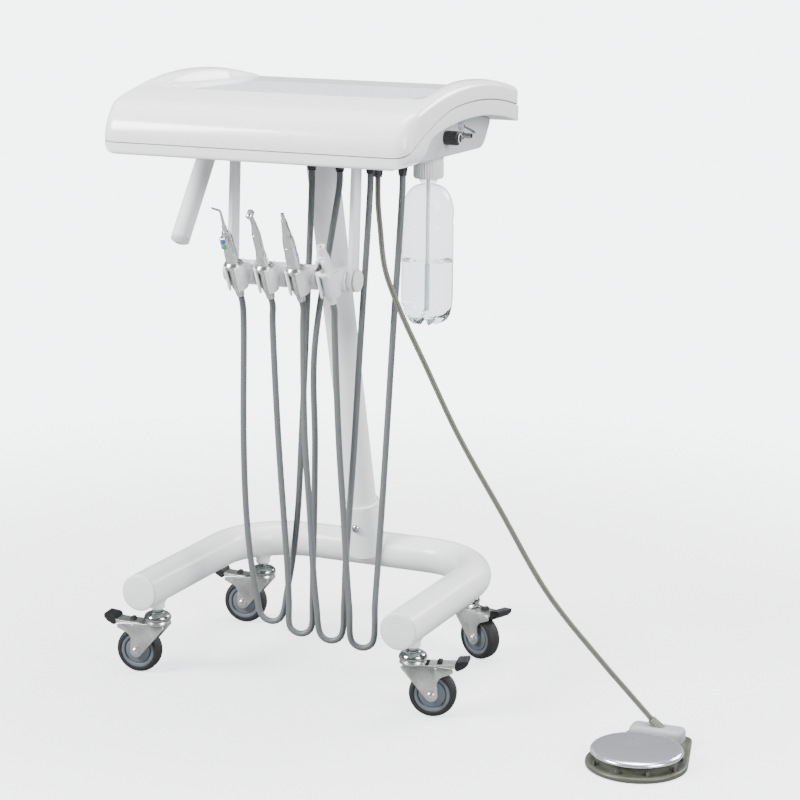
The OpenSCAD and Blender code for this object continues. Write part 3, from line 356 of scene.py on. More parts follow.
def roundedRows(low, high, edge, steps=3):
    # rows of a slab between two heights, both edges rounded by a quarter circle
    start = [(edge * (1 - sin(a)), low + edge * (1 - cos(a))) for a in np.linspace(0, 90, steps + 1)]
    return start + [(inset, high - (height - low)) for inset, height in start[::-1]]


def plate(wide, deep, corner, low, high, edge):
    outline = rounded([[wide / 2, -deep / 2], [wide / 2, deep / 2], [-wide / 2, deep / 2], [-wide / 2, -deep / 2]],
                      corner, 6, closed=True)
    return slab(outline, roundedRows(low, high, edge))


def swollen(points, at, axis, amount, core):
    # points move away from the line through at along axis by their own amount; those within core of it stay
    offset = points - np.asarray(at)
    radial = offset - np.outer(offset @ axis, axis)
    length = np.maximum(np.linalg.norm(radial, axis=1), 1e-6)
    return points + radial / length[:, None] * (amount * (length > core))[:, None]


def cutLevel(shape, at, axis, plateZ, bead, reach, core):
    # a leaning tube ends level, 1 mm inside the plate over it, and swells towards the plate as a weld does
    points, faces = shape
    over = np.maximum(0, points[:, 2] - (plateZ + 1))
    points = points - np.outer(over / axis[2], axis)
    return swollen(points, at, axis, bead * np.clip(1 - (plateZ - points[:, 2]) / reach, 0, 1) ** 2, core), faces


sideways = np.stack([[1, 0, 0], [0, 0, 1], [0, -1, 0]], 1)    # a drawing in x and z, thick along y
endways = np.stack([[0, 1, 0], [0, 0, 1], [1, 0, 0]], 1)      # a drawing in y and z, thick along x


def addPiece(name, shapes, look, body, node=None, sharp=38):
    # one mesh from several shapes: near points merged, faces outwards, smooth up to the sharp angle
    starts = np.cumsum([0] + [len(points) for points, _ in shapes]).tolist()
    faces = [[k + start for k in face] for start, (_, own) in zip(starts, shapes) for face in own]
    mesh = bpy.data.meshes.new(name)
    mesh.from_pydata((np.concatenate([points for points, _ in shapes]) * mm).tolist(), [], faces)
    working = bmesh.new()
    working.from_mesh(mesh)
    bmesh.ops.remove_doubles(working, verts=working.verts, dist=2e-6)
    bmesh.ops.dissolve_degenerate(working, edges=working.edges, dist=1e-7)
    bmesh.ops.recalc_face_normals(working, faces=working.faces)
    working.to_mesh(mesh)
    working.free()
    mesh.shade_smooth()
    mesh.set_sharp_from_angle(angle=math.radians(sharp))
    mesh.materials.append(finish[look])
    piece = addToScene(name, mesh)
    if body:
        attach(piece, body)
    if node:
        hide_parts(node)
    return piece


# places shared with part.scad
lean, holderPitch = 25, 53
alongGrip = np.array([0, -sin(lean), cos(lean)])
gripTurn = np.stack([[1, 0, 0], [0, cos(lean), sin(lean)], alongGrip], 1)
gripBase = np.array([0, -306 - 33.5 * cos(lean), 670 - 33.5 * sin(lean)])
hoseExit = gripBase - alongGrip * 22
holderX = [(k - 1.5) * holderPitch for k in range(4)]


def onGrip(shape, number):
    return placed(shape, gripBase + [holderX[number], 0, 0], gripTurn)


# hoses: the routes of part.scad, from the outlet under the housing down to the instrument
hoses = {
    "diameter": 10, "outletY": -258, "outletZ": 830, "straightDown": 16, "straightOut": 14, "spacing": 6,
    "syringe": {"outlet": 10, "turn": (4, -74), "route": [
        [-82, -313, 598], [-86, -307, 400], [-83, -306, 290], [-75, -306, 205], [-66, -304, 148], [-58, -302, 111],
        [-47, -300, 102], [-34, -298, 102], [-24, -296, 111], [-16, -292, 155], [-7, -290, 210], [1, -288, 290],
        [5, -284, 400], [8, -276, 550]]},
    "turbine": {"outlet": 58, "turn": (40, -21), "route": [
        [-31, -313, 598], [-25, -307, 420], [-16, -306, 290], [-9, -306, 200], [-7, -304, 140], [-6, -302, 97],
        [5, -300, 88], [17, -298, 88], [28, -296, 97], [29, -292, 145], [29, -290, 205], [30, -288, 290],
        [29, -284, 400], [24, -276, 550]]},
    "motor": {"outlet": 110, "turn": (104, 32), "route": [
        [22, -313, 598], [22, -307, 420], [31, -306, 290], [37, -306, 200], [42, -304, 140], [48, -302, 93],
        [58, -300, 84], [71, -298, 84], [82, -296, 93], [85, -292, 150], [86, -290, 205], [91, -288, 290],
        [97, -284, 400], [102, -276, 550]]},
    "suction": {"outlet": 164, "turn": (158, 85), "route": [
        [76, -313, 598], [81, -307, 420], [90, -306, 290], [96, -306, 200], [100, -304, 140], [103, -302, 89],
        [114, -300, 80], [126, -298, 80], [137, -296, 89], [139, -292, 155], [143, -290, 225], [147, -288, 300],
        [152, -283, 420], [157, -275, 570]]},
}
hoseBodies = ("syringe", "turbine", "motor", "suction")
footHose = {
    "width": 9, "thick": 5.2, "waist": 0.74, "waistWide": 0.95, "outlet": (138, -292, 830), "straight": 14,
    "reliefFoot": (611, -297, 26.5), "reliefLean": 46, "reliefLength": 14,
    "route": [[139, -293, 790], [144, -296, 755], [155, -300, 690], [182, -304, 630], [226, -306, 549],
              [282, -306, 445], [352, -304, 335], [432, -302, 212], [518, -299, 118], [566, -297, 70]],
}
reliefDir = np.array([-sin(footHose["reliefLean"]), 0, cos(footHose["reliefLean"])])


def pathLength(path):
    return float(np.linalg.norm(np.diff(path, axis=0), axis=1).sum())


def addHose(body, gripNumber):
    s = hoses[body]
    leave = hoseExit + [holderX[gripNumber], 0, 0]
    outlet = np.array([s["outlet"], hoses["outletY"], hoses["outletZ"]], float)
    straight = alongGrip * hoses["straightOut"], [0, 0, hoses["straightDown"]]
    path = smoothPath([outlet, outlet - straight[1], *s["route"][::-1], leave - straight[0], leave], hoses["spacing"])
    hose = addPiece(body + "Hose", [carried(path, circle(hoses["diameter"] / 2, 20))], "hoseSilicone",
                    None, body + "_hose")
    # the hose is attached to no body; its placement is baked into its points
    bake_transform(hose)
    print(body, "hose", round(pathLength(path)), "mm")


def addFootHose(s):
    # two tubes side by side: an oval section with a waist where they meet
    outlet = np.array(s["outlet"], float)
    end = np.array(s["reliefFoot"]) + reliefDir * s["reliefLength"]
    path = smoothPath([outlet, outlet - [0, 0, s["straight"]], *s["route"], end + reliefDir * s["straight"], end],
                      hoses["spacing"])
    angles = np.linspace(0, 2 * np.pi, 40, endpoint=False)
    across = s["width"] / 2 * np.cos(angles)
    thick = s["thick"] / 2 * np.sin(angles) * (1 - s["waist"] * np.exp(-(across / s["waistWide"]) ** 2))
    hose = addPiece("footHose", [carried(path, np.stack([across, thick], -1))], "twinHose", "unit",
                    "foot_hose")
    print("foot hose", round(pathLength(path)), "mm")


for gripNumber, body in enumerate(hoseBodies):
    addHose(body, gripNumber)
addFootHose(footHose)

# console: two shells, the seal between them and the mat
console = {
    "half": 254, "frontY": -452, "backY": -2, "bottomZ": 860, "archY": -187, "archZ": 120, "archR": 850,
    "noseR": 60, "band": 53, "curlW": 72, "curlR": 45, "seamR": 822, "seamBend": -260, "seamFrontZ": 878,
    "seamSlopes": (-17, -80), "groove": 2.2, "grooveDepth": 1.4, "backRound": 10, "lowerRound": (5, 4, 6),
    "deckBackZ": 949, "deckRise": 1.0, "deckFrom": -440, "rimInside": (212, 234, 216), "rimFrom": (-120, -345, -400),
    "wall": 11, "crest": 3.0, "crestFrom": -352, "crestLong": 342, "crestOver": 930,
    "round": {"end": 9, "front": 22, "lip": 28, "frontFrom": -400, "frontOver": 45, "lowerEnd": 3},
    "spacing": 3.5, "sealMiddle": -227, "sealWide": 0.03, "sealOver": 0.3,
}
matSettings = {"at": (28, -243), "size": (344, 214), "corner": 14, "top": 0.55, "rows": (
    (0.0, -1.1), (0.0, 0.5), (0.5, 1.1), (1.6, 1.1), (2.4, 0.6), (3.4, 0.55))}


def archAt(y, radius):
    # height of the circle of that radius round the arch's centre
    s = console
    return s["archZ"] + np.sqrt(radius ** 2 - (np.asarray(y, float) - s["archY"]) ** 2)


def seamAt(y):
    # the seam follows the arch and then drops to the front in one cubic, with the given slopes at its ends
    s = console
    t = np.clip((s["seamBend"] - np.asarray(y, float)) / (s["seamBend"] - s["frontY"]), 0, 1)
    start = archAt(s["seamBend"], s["seamR"])
    drop = start + s["seamSlopes"][0] * (t ** 3 - 2 * t ** 2 + t) + (s["seamFrontZ"] - start) \
        * (3 * t ** 2 - 2 * t ** 3) + s["seamSlopes"][1] * (t ** 3 - t ** 2)
    return np.where(np.asarray(y) > s["seamBend"], archAt(y, s["seamR"]), drop)


def deckAt(y):
    s = console
    return s["deckBackZ"] + (s["backY"] - np.asarray(y, float)) * math.tan(math.radians(s["deckRise"]))


def rimAt(y):
    # distance of a rim's inner edge from the middle
    return np.interp(-np.asarray(y, float), [-v for v in console["rimFrom"]], console["rimInside"])


def consoleLines(s):
    # side view, from the seam at the front round to the seam at the back: over the top, and round below
    under = s["archR"] - s["band"]
    noseY, curlY = s["frontY"] + s["noseR"], s["frontY"] + s["curlW"] + s["curlR"]
    noseC = np.array([noseY, archAt(noseY, s["archR"] - s["noseR"])])
    curlC = np.array([curlY, archAt(curlY, under - s["curlR"])])
    angleTo = lambda c: math.degrees(math.atan2(c[1] - s["archZ"], c[0] - s["archY"]))
    backAngle = lambda radius: math.degrees(math.acos((s["backY"] - s["archY"]) / radius))
    arch, half = (s["archY"], s["archZ"]), s["groove"] / 2
    # points near the arc's end are left out, so that the back corner has room for its rounding
    top = arcPoints(arch, s["archR"], angleTo(noseC), backAngle(s["archR"]), 90)[1:]
    over = np.concatenate([
        [[s["frontY"], s["seamFrontZ"] + half]],
        arcPoints(noseC, s["noseR"], 180, angleTo(noseC), 40),
        top[:-5], top[-1:],
        [[s["backY"], float(seamAt(s["backY"])) + half]]])
    below = np.concatenate([
        [[s["frontY"], s["seamFrontZ"] - half], [s["frontY"], s["bottomZ"]], [s["frontY"] + s["curlW"], s["bottomZ"]]],
        arcPoints(curlC, s["curlR"], 176, angleTo(curlC), 16)[1:],
        arcPoints(arch, under, angleTo(curlC), backAngle(under), 60)[1:],
        [[s["backY"], float(seamAt(s["backY"])) - half]]])
    overRadii, belowRadii = np.zeros(len(over)), np.zeros(len(below))
    overRadii[-2], belowRadii[[1, 2, -2]] = s["backRound"], s["lowerRound"]
    return [evenly(rounded(line, radii, 6), s["spacing"]) for line, radii in ((over, overRadii), (below, belowRadii))]


def shellRows(s, rim, radius, upper):
    # (x, inset) of each row from the middle to the right end, then mirrored to the left
    if upper:
        rows = [(f * (rim - s["wall"] - 2), 0 * rim) for f in np.linspace(0, 1, 9)]
        rows += [(rim - s["wall"] - 2 + w, 0 * rim) for w in np.linspace(1.6, s["wall"] + 5, 10)]
        rows += [((rim + 3) * (1 - f) + (s["half"] - radius) * f, 0 * rim) for f in np.linspace(0.25, 1, 4)]
        rows += [(s["half"] - radius * (1 - sin(a)), radius * (1 - cos(a))) for a in np.linspace(12, 90, 8)]
    else:
        # rows gather where the corners of the plan and of the lip begin, and at the end's own edge
        edge = s["round"]["lowerEnd"]
        far = s["half"] - edge * (1 - np.sin(np.radians(np.linspace(0, 90, 6))))
        past = lambda x: np.maximum(0, x - s["half"] + edge)
        rows = [(x + 0 * rim, edge - np.sqrt(np.maximum(0, edge ** 2 - past(x) ** 2)) + 0 * rim)
                for x in np.concatenate([np.linspace(0, 224, 9), np.linspace(226, 249, 20), far])]
    return [(-x, inset) for x, inset in rows[:0:-1]] + rows


def consoleShell(s, line, upper):
    # the side view's line, inset along its normals as it nears the rounded ends, then back along the seam
    tangent = np.gradient(line, axis=0)
    tangent /= np.linalg.norm(tangent, axis=1)[:, None]
    inward = np.stack([tangent[:, 1], -tangent[:, 0]], -1) * (1 if upper else -1)
    r = s["round"]
    front = np.clip((r["frontFrom"] - line[:, 0]) / r["frontOver"], 0, 1) if upper else 0 * line[:, 0]
    radius = r["end"] + (r["front"] - r["end"]) * front ** 2 * (3 - 2 * front)
    rim = rimAt(line[:, 0])
    # where the line runs straight up at its two ends, the points along the seam still keep apart
    first = int((line[:, 0] < line[0, 0] + 0.5).sum()) + 6
    last = int((line[:, 0] > line[-1, 0] - 0.5).sum()) + 6
    dip = lambda x, r: r - np.sqrt(np.maximum(0, r ** 2 - np.maximum(0, np.abs(x) - s["half"] + r) ** 2))
    gap = s["groove"] / 2 if upper else -s["groove"] / 2
    grid = []
    for x, inset in shellRows(s, rim, radius, upper):
        y, z = (line + inward * inset[:, None]).T
        if upper:
            # the deck lies between the rims, and each rim is crowned between its inner edge and the end
            z = np.maximum(z, seamAt(y) + gap)
            into = np.clip((rimAt(y) + 2 - np.abs(x)) / s["wall"], 0, 1)
            into = into * into * (3 - 2 * into)
            z = z - np.maximum(0, z - deckAt(y)) * into * (y > s["deckFrom"])
            across = np.clip((np.abs(x) - rim) / (s["half"] - rim), 0, 1)
            lengthwise = np.clip((y - s["crestFrom"]) / s["crestLong"], 0, 1)
            crown = s["crest"] * np.sin(np.pi * across) * np.sin(np.pi * lengthwise) ** 0.7
            z = z + crown * (line[:, 1] > s["crestOver"])
        else:
            # plan corner: the front moves back; lip corner: the bottom rises, but never past the seam
            y = np.maximum(y, s["frontY"] + dip(x, r["front"]))
            z = np.minimum(np.maximum(z, s["bottomZ"] + dip(x, r["lip"])), seamAt(y) + gap)
        xs, under = np.broadcast_to(x, (len(y),)), y.copy()
        under[:first] = np.linspace(under[0], under[first - 1], first)
        under[-last:] = np.linspace(under[-last], under[-1], last)
        alongSeam = np.column_stack([xs, under, seamAt(under) + gap])
        grid.append(np.concatenate([np.column_stack([xs, y, z]), alongSeam[::-1]]))
    # each end is closed by a strip between the outer line and the seam under or over it
    count = len(line)
    ends = [gridShape(np.stack([row[:count], row[:count - 1:-1]]), around=False) for row in (grid[0], grid[-1])]
    return [gridShape(np.array(grid)), *ends]


def addSeal(s):
    # a thin plate along the seam, set back from the shells' outside
    depth, end = s["grooveDepth"], s["round"]["end"]
    right, front, back = s["half"] - depth, s["frontY"] + depth, s["backY"] - depth
    corner = s["round"]["front"] - depth
    plan = rounded([[right, front], [right, back], [-right, back], [-right, front]], [corner, end, end, corner], 8,
                   closed=True)
    plan = evenRing(plan, 6)
    half = s["groove"] / 2 + s["sealOver"]
    inner = plan * [1 - s["sealWide"], 1] + (np.array([0, s["sealMiddle"]]) - plan) * [0, s["sealWide"]]
    ring = np.stack([np.column_stack([p, seamAt(p[:, 1]) + h]) for p, h in
                     ((plan, half), (inner, half), (inner, -half), (plan, -half))])
    addPiece("traySeal", [gridShape(ring, along=True)], "sealGrey", "unit", "tray_seal")


def addMat(s):
    # a plate that lies on the deck, with a small raised bead round it
    centre, size = np.array(s["at"]), np.array(s["size"])
    outline = evenRing(rounded([centre + np.array(way) * size / 2 for way in ((1, -1), (1, 1), (-1, 1), (-1, -1))],
                               s["corner"], 8, closed=True), 5)
    rows = [(centre + (outline - centre) * (1 - 2 * inset / size), height) for inset, height in s["rows"]]
    rows += [(centre + (outline - centre) * f, s["top"]) for f in np.linspace(0.93, 0.02, 16)]
    topAt = lambda y: np.minimum(deckAt(y), archAt(y, console["archR"]))
    grid = np.stack([np.column_stack([p, topAt(p[:, 1]) + h]) for p, h in rows])
    addPiece("trayMat", [gridShape(grid, caps=(True, True))], "matSilicone", "unit", "tray_mat", sharp=60)


over, below = consoleLines(console)
addPiece("trayCover", consoleShell(console, over, True), "shellGloss", "unit", "tray_cover", sharp=50)
addPiece("trayBase", consoleShell(console, below, False), "shellGloss", "unit", "tray_base", sharp=50)
addSeal(console)
addMat(matSettings)
print("console made")

# base: bent tube, collar, bosses, end caps and column
base = {"tube": 30, "leg": 227, "length": 400, "corner": 120, "axisZ": 152, "bossR": 12, "bossZ": 110,
        "collarR": 31, "collarLen": 98, "bead": 3.2, "beadReach": 6,
        "cap": [[0, 4.5], [14, 4.4], [21, 4.15], [25.6, 3.75], [28.2, 3.2], [29.4, 2.6], [29.8, 2.0], [29.6, 1.6],
                [28.0, 1.5], [28.0, 0.2], [29.9, 0.15], [29.9, 0], [26, 0], [26, -6], [0, -6]]}
columnSettings = {"foot": (0, -20, 152), "tilt": 14.8, "radius": 25.5, "from": 34, "flangeZ": 850, "topZ": 856,
                  "flange": (130, 78, 14), "boltUp": 60, "screwIn": (14, 12),
                  "bolt": [[0, 3.2], [2.6, 3.2], [2.6, 5.6], [4.4, 5.6], [5.6, 5.0], [6.6, 3.9], [7.4, 2.2], [7.5, 0.6],
                           [7.2, 0], [0, 0]],
                  "screw": [[0, 2.4], [2.4, 2.4], [2.4, 5], [4.4, 5], [5, 4.2], [5, 0], [0, 0]]}
casterPlaces = {"front_left": (-227, -342, 187), "front_right": (227, -342, 14),
                "rear_left": (-191.85, -35.15, 186), "rear_right": (191.85, -35.15, -22)}
columnAxis = np.array([0, -sin(columnSettings["tilt"]), cos(columnSettings["tilt"])])
columnTurn = turnTo(columnAxis)


def basePath(s):
    centre = s["leg"] - s["corner"]
    turn = np.radians(np.linspace(0, 90, 29))
    bend = np.stack([centre + s["corner"] * np.cos(turn), s["corner"] * (np.sin(turn) - 1)], -1)
    leg = np.linspace(-s["length"], -s["corner"], 40)[:-1]
    back = np.linspace(centre, -centre, 40)[1:-1]
    plan = np.concatenate([np.column_stack([0 * leg + s["leg"], leg]), bend, np.column_stack([back, 0 * back]),
                           bend[::-1] * [-1, 1], np.column_stack([0 * leg - s["leg"], leg[::-1]])])
    return np.column_stack([plan, np.full(len(plan), float(s["axisZ"]))])


def welded(shape, at, axis, path):
    # points near the bent tube move away from the shape's own axis, as the bead of a weld does
    points, faces = shape
    near = np.linalg.norm(points[:, None] - path[None], axis=2).min(1) - base["tube"]
    return swollen(points, at, axis, base["bead"] * np.clip(1 - near / base["beadReach"], 0, 1) ** 2, 8), faces


def addBase(s, c):
    path = basePath(s)
    shapes = [carried(path, circle(s["tube"], 72))]
    r, high, bore = s["collarR"], s["collarLen"], c["radius"] + 0.6
    rim = rounded([[0, 1], [r, 1], [r, high - 5], [r - 0.7, high - 4.4], [r, high - 3.8], [r, high], [bore, high],
                   [bore, high - 2], [0, high - 2]], [0, 0, 0, 0, 0, 1.6, 0.4, 0, 0])
    low = np.linspace(2, 50, 33)[:, None] * [0, 1] + [r, 0]
    collar = placed(turned(np.vstack([rim[:2], low, rim[2:]]), 72), c["foot"], columnTurn)
    shapes.append(welded(collar, c["foot"], columnAxis, path))
    foot, inTube = s["bossZ"], s["axisZ"] - 20
    side = np.linspace(foot + 1, inTube, 21)
    boss = turned(np.vstack([[[0, foot + 1], [6.2, foot + 1], [6.2, foot], [s["bossR"] - 1, foot]],
                             np.column_stack([0 * side + s["bossR"], side]), [[0, inTube]]]), 48)
    for x, y, _ in casterPlaces.values():
        shapes.append(welded(placed(boss, (x, y, 0)), (x, y, 0), np.array([0, 0, 1.0]), path))
    addPiece("baseFrame", shapes, "powderWhite", "unit", "base_frame")
    caps = [placed(turned(s["cap"], 72), (side * s["leg"], -s["length"], s["axisZ"]), turnTo((0, -1, 0)))
            for side in (-1, 1)]
    addPiece("legEndCaps", caps, "capGrey", "unit", "leg_end_caps")
    # column: a tube cut level under its flange
    run = np.concatenate([[c["from"]], np.linspace(60, 700, 24), np.linspace(702, 740, 39)])
    profile = np.vstack([[[0, c["from"]]], np.column_stack([0 * run + c["radius"], run]), [[0, run[-1]]]])
    column = placed(turned(profile, 72), c["foot"], columnTurn)
    column = cutLevel(column, c["foot"], columnAxis, c["flangeZ"], bead=3.5, reach=8, core=8)
    wide, deep, corner = c["flange"]
    topY = c["foot"][1] - (c["topZ"] - c["foot"][2]) * math.tan(math.radians(c["tilt"]))
    flange = placed(plate(wide, deep, corner, c["flangeZ"], c["topZ"], 1.2), (0, topY, 0))
    addPiece("columnTube", [column, flange], "powderWhite", "unit", "column_tube")
    # screws: heads with a sunk socket
    forward = -columnTurn[:, 1] if columnTurn[1, 1] > 0 else columnTurn[:, 1]
    at = np.array(c["foot"]) + columnAxis * c["boltUp"] + forward * (r - 0.2)
    addPiece("collarBolt", [placed(turned(c["bolt"], 48), at, turnTo(forward))], "steelSatin", "unit",
             "collar_bolt", sharp=30)
    inX, inY = c["screwIn"]
    screws = [placed(turned(c["screw"], 32), (x * (wide / 2 - inX), topY + y * (deep / 2 - inY), c["flangeZ"]),
                     turnTo((0, 0, -1))) for x in (-1, 1) for y in (-1, 1)]
    addPiece("flangeScrews", screws, "steelSatin", "unit", "flange_screws", sharp=30)
    print("base made")


addBase(base, columnSettings)

# casters: the swivel pin is z and the wheel trails towards x; fork, arm, pedal and lug are drawn from the axle
caster = {
    "trail": 32, "wheelR": 37.5, "crownZ": 85, "gapHalf": 15.5, "sheet": 2.5, "brakeV": 42.0, "brakeHalf": 14.7,
    "bolt": [[0, 5.2], [3, 5.0], [5.3, 4.3], [6.3, 3.4], [6.4, 1.5], [8.2, 1.45], [8.3, 0.9], [8.2, -0.2], [0, -0.2]],
    "rivet": [[0, 1.1], [1.2, 1.0], [1.9, 0.4], [2.0, -0.4], [0, -0.4]],
    "race": [[0, 84.4], [20.6, 84.4], [21.6, 85.0], [21.7, 86.4], [20.6, 87.0], [20.3, 87.8], [20.6, 88.6],
             [20.0, 90.1], [0, 90.1]],
    # hub: bearing boss, flat web, a thin groove and an outer ring; hub and tyre are the same on both sides
    "hub": [[4.05, 15], [8.2, 15], [9, 14.4], [9.6, 10.6], [11, 10.1], [20.2, 9.7], [21, 9.3], [21.3, 7.6], [22.4, 7.6],
            [22.7, 9.6], [23.4, 10.5], [25, 10.9], [27.6, 10.9], [28.5, 10.5]],
    "tyre": [[28.5, 10.4], [29.1, 11.2], [29.4, 12], [31, 12], [33.2, 11.8], [35.0, 10.6], [36.4, 8.6], [37.2, 6.2],
             [37.48, 3.4], [37.5, 0]],
    "dome": [[0, 90.7], [19.2, 90.7], [21.4, 91.2], [22.4, 92.4], [22.5, 94.2], [21.9, 97.0], [20.2, 99.9],
             [17.4, 102.0], [14.2, 103.2], [12.4, 103.5], [11.8, 104.3], [10.6, 105.0], [6, 105.2]],
    "nut": [[0, 105], [8.4, 105], [9.3, 105.7], [9.3, 109], [8.4, 109.6], [0, 109.6]],
}


def addCaster(name, place):
    s = caster
    turn, at = aboutZ(place[2]), np.array([place[0], place[1], 0])
    axle = np.array([s["trail"], 0, s["wheelR"]])
    world = lambda shape: placed(shape, at, turn)
    onAxle = lambda shape, y=0.0: world(placed(shape, axle + [0, y, 0], sideways))
    k, v, sheet, pedalHalf = s["crownZ"] - s["wheelR"], s["brakeV"], s["sheet"], s["brakeHalf"]
    # fork: two plates with rounded edges, bent inwards at the top to meet the crown under the race
    side = rounded([[-49, k - 5], [-47, k + 0.3], [0, k + 0.4], [28, k - 1.4], [34, k - 4.5], [33.4, k - 9.5],
                    [24, k - 13.6], [13, k - 18], [8.8, k - 26]], [3, 2, 3, 5, 2.5, 2.5, 4, 7, 6], 5)
    side = evenRing(np.vstack([side, arcPoints((0, 0), 10, -142, 6, 14)[::-1]]), 1.6)
    shapes = []
    for way in (-1, 1):
        points, faces = slab(side, roundedRows(-sheet / 2, sheet / 2, 0.7))
        # the plates lean in a little above the wheel and fold over the crown: y follows the height
        lean = 1.6 * np.clip((points[:, 1] - (k - 9)) / 9, 0, 1) ** 2 + 0.8 * np.clip((points[:, 0] - 12) / 20, 0, 1)
        points = points + np.column_stack([0 * lean, 0 * lean, way * lean])
        shapes.append(onAxle((points, faces), way * (s["gapHalf"] + sheet / 2)))
        # domed hexagon head on a washer, and the brake's rivet
        outward = np.array([0, way, 0.0])
        shapes.append(world(placed(turned(s["bolt"], 36), axle + outward * (s["gapHalf"] + sheet), turnTo(outward))))
        shapes.append(world(placed(turned(s["rivet"], 20), axle + [6, 0, v + 1.5] + outward
                                   * (s["gapHalf"] + sheet - 1.2), turnTo(outward))))
    crown = rounded([[20, -16.5], [20, 16.5], [-15, 16.5], [-15, -16.5]], [10, 10, 16, 16], 8, closed=True)
    shapes.append(world(slab(evenRing(crown, 2), roundedRows(s["crownZ"] - sheet, s["crownZ"], 0.8))))
    shapes.append(world(turned(s["race"], 64)))
    addPiece(name + "Fork", shapes, "zincPlate", name + "_swivel", name + "_fork", sharp=32)
    hub, tyre = s["hub"], s["tyre"]
    hub = np.array(hub + [[r, -h] for r, h in hub[::-1]] + hub[:1])
    addPiece(name + "Hub", [onAxle(turned(hub, 72))], "hubBlueGrey", name + "_wheel", name + "_hub",
             sharp=30)
    tyre = np.array(tyre + [[r, -h] for r, h in tyre[-2::-1]] + tyre[:1])
    addPiece(name + "Tyre", [onAxle(turned(tyre, 96))], "tyreRubber", name + "_wheel", name + "_tyre",
             sharp=30)
    # brake: a pressed steel arm with a lug, and a ribbed plastic pedal moulded round its end
    arm = rounded([[-6, v - 1.5], [2, v - 3], [12, v - 2], [30, v + 2], [39, v + 4], [39, v + 9], [30, v + 7.5],
                   [-6, v + 6.5]], [1.5, 1.5, 4, 4, 0.5, 0.5, 5, 1.5], 5, closed=True)
    addPiece(name + "BrakeArm", [onAxle(slab(evenRing(arm, 1.5), roundedRows(-pedalHalf, pedalHalf, 1.1)))],
             "zincPlate", name + "_pedal", sharp=32)
    along = np.linspace(0, 1, 33)[:, None]
    ribs = [41, v + 15.1] + along * [14.5, 1.7] + np.column_stack([0 * along, 0.55 * np.cos(along * 2 * np.pi * 5)])
    under = rounded([[56.2, v + 16.6], [57, v + 11], [50, v + 4], [40, v - 1], [36, v + 1], [36, v + 12],
                     [41, v + 15.4]], [0, 3, 3, 2, 2, 3, 0], 5)
    pedal = evenly(np.vstack([ribs, under]), 0.75)[:-1]
    lug = rounded([[6, v + 5.5], [15, v + 5.5], [14.4, v + 12.4], [7.4, v + 12.4]], [0.3, 0.3, 2, 2], 5, closed=True)
    addPiece(name + "Pedal", [onAxle(slab(pedal, roundedRows(-pedalHalf - 1.5, pedalHalf + 1.5, 1.6))),
                              onAxle(slab(evenRing(lug, 0.8), roundedRows(-6, 6, 0.9)))],
             "pedalPlastic", name + "_pedal", name + "_brake", sharp=40)
    # what stays with the base: domed swivel head, hexagon and stem
    dome = np.vstack([rounded(s["dome"], 1.2, 3), [[6, 112], [0, 112]]])
    return [world(turned(dome, 72)), world(turned(s["nut"], 6))]


stems = [shape for name, place in casterPlaces.items() for shape in addCaster(name, place)]
addPiece("casterStems", stems, "zincDome", "unit", "caster_stems", sharp=32)
print("casters made")

# control housing with its knob, air inlet and toggle, and the hoses' glands
housing = {
    "half": 215, "z": 856, "front": -312, "back": -60, "underR": 797, "edge": 3, "gap": 0.3,
    "knob": (-213, 886), "inlet": (-150, 884), "toggle": (-158, 900), "toggleX": 221, "toggleTilt": 115,
    # the knob's rows are radius, height and depth of the flutes
    "knobRows": [(4, -6, 0), (4, 0.3, 0), (9.6, 0.3, 0), (10.8, 0.9, 0), (11, 2.6, 0), (11, 3.4, 1), (11, 20, 1),
                 (10.7, 21.3, 0.6), (9.8, 22, 0), (8.2, 22.3, 0), (8.0, 24.2, 0), (7.2, 25, 0), (3, 25.2, 0)],
    "knobCap": [[7.9, 22.35], [8.0, 24.1], [7.3, 24.95], [6.2, 25.0], [5.8, 24.6], [0, 24.5]],
    "nipple": [[2.25, 2], [2.25, 18], [3.6, 18], [4.4, 15.4], [3.9, 15.2], [4.4, 12.4], [3.9, 12.2], [4.45, 9.4],
               [4.0, 9.1], [4.2, 4.2], [0, 4.0]],
    "hexagon": [[0, 0], [7, 0], [7, 3.3], [6.2, 4], [0, 4]],
    "lever": [[0, 0], [1.3, 0], [1.35, 3], [2.2, 20], [2.5, 22.4], [1.6, 24], [0, 24]],
    "barrel": [[0, -1.9], [1.8, -1.9], [2.2, -1.5], [2.2, 1.5], [1.8, 1.9], [0, 1.9]],
    "pin": [[0, -5.5], [0.8, -5.5], [0.8, 5.5], [0, 5.5]],
}
glandSettings = {"z": 830, "foot": (138, -292), "long": 20, "rings": 5, "narrow": 6.5, "widen": 2, "ripple": 0.35,
                 "nut": [[0, 20], [8.9, 20], [10, 20.9], [10, 25.3], [9.2, 26], [0, 26]]}


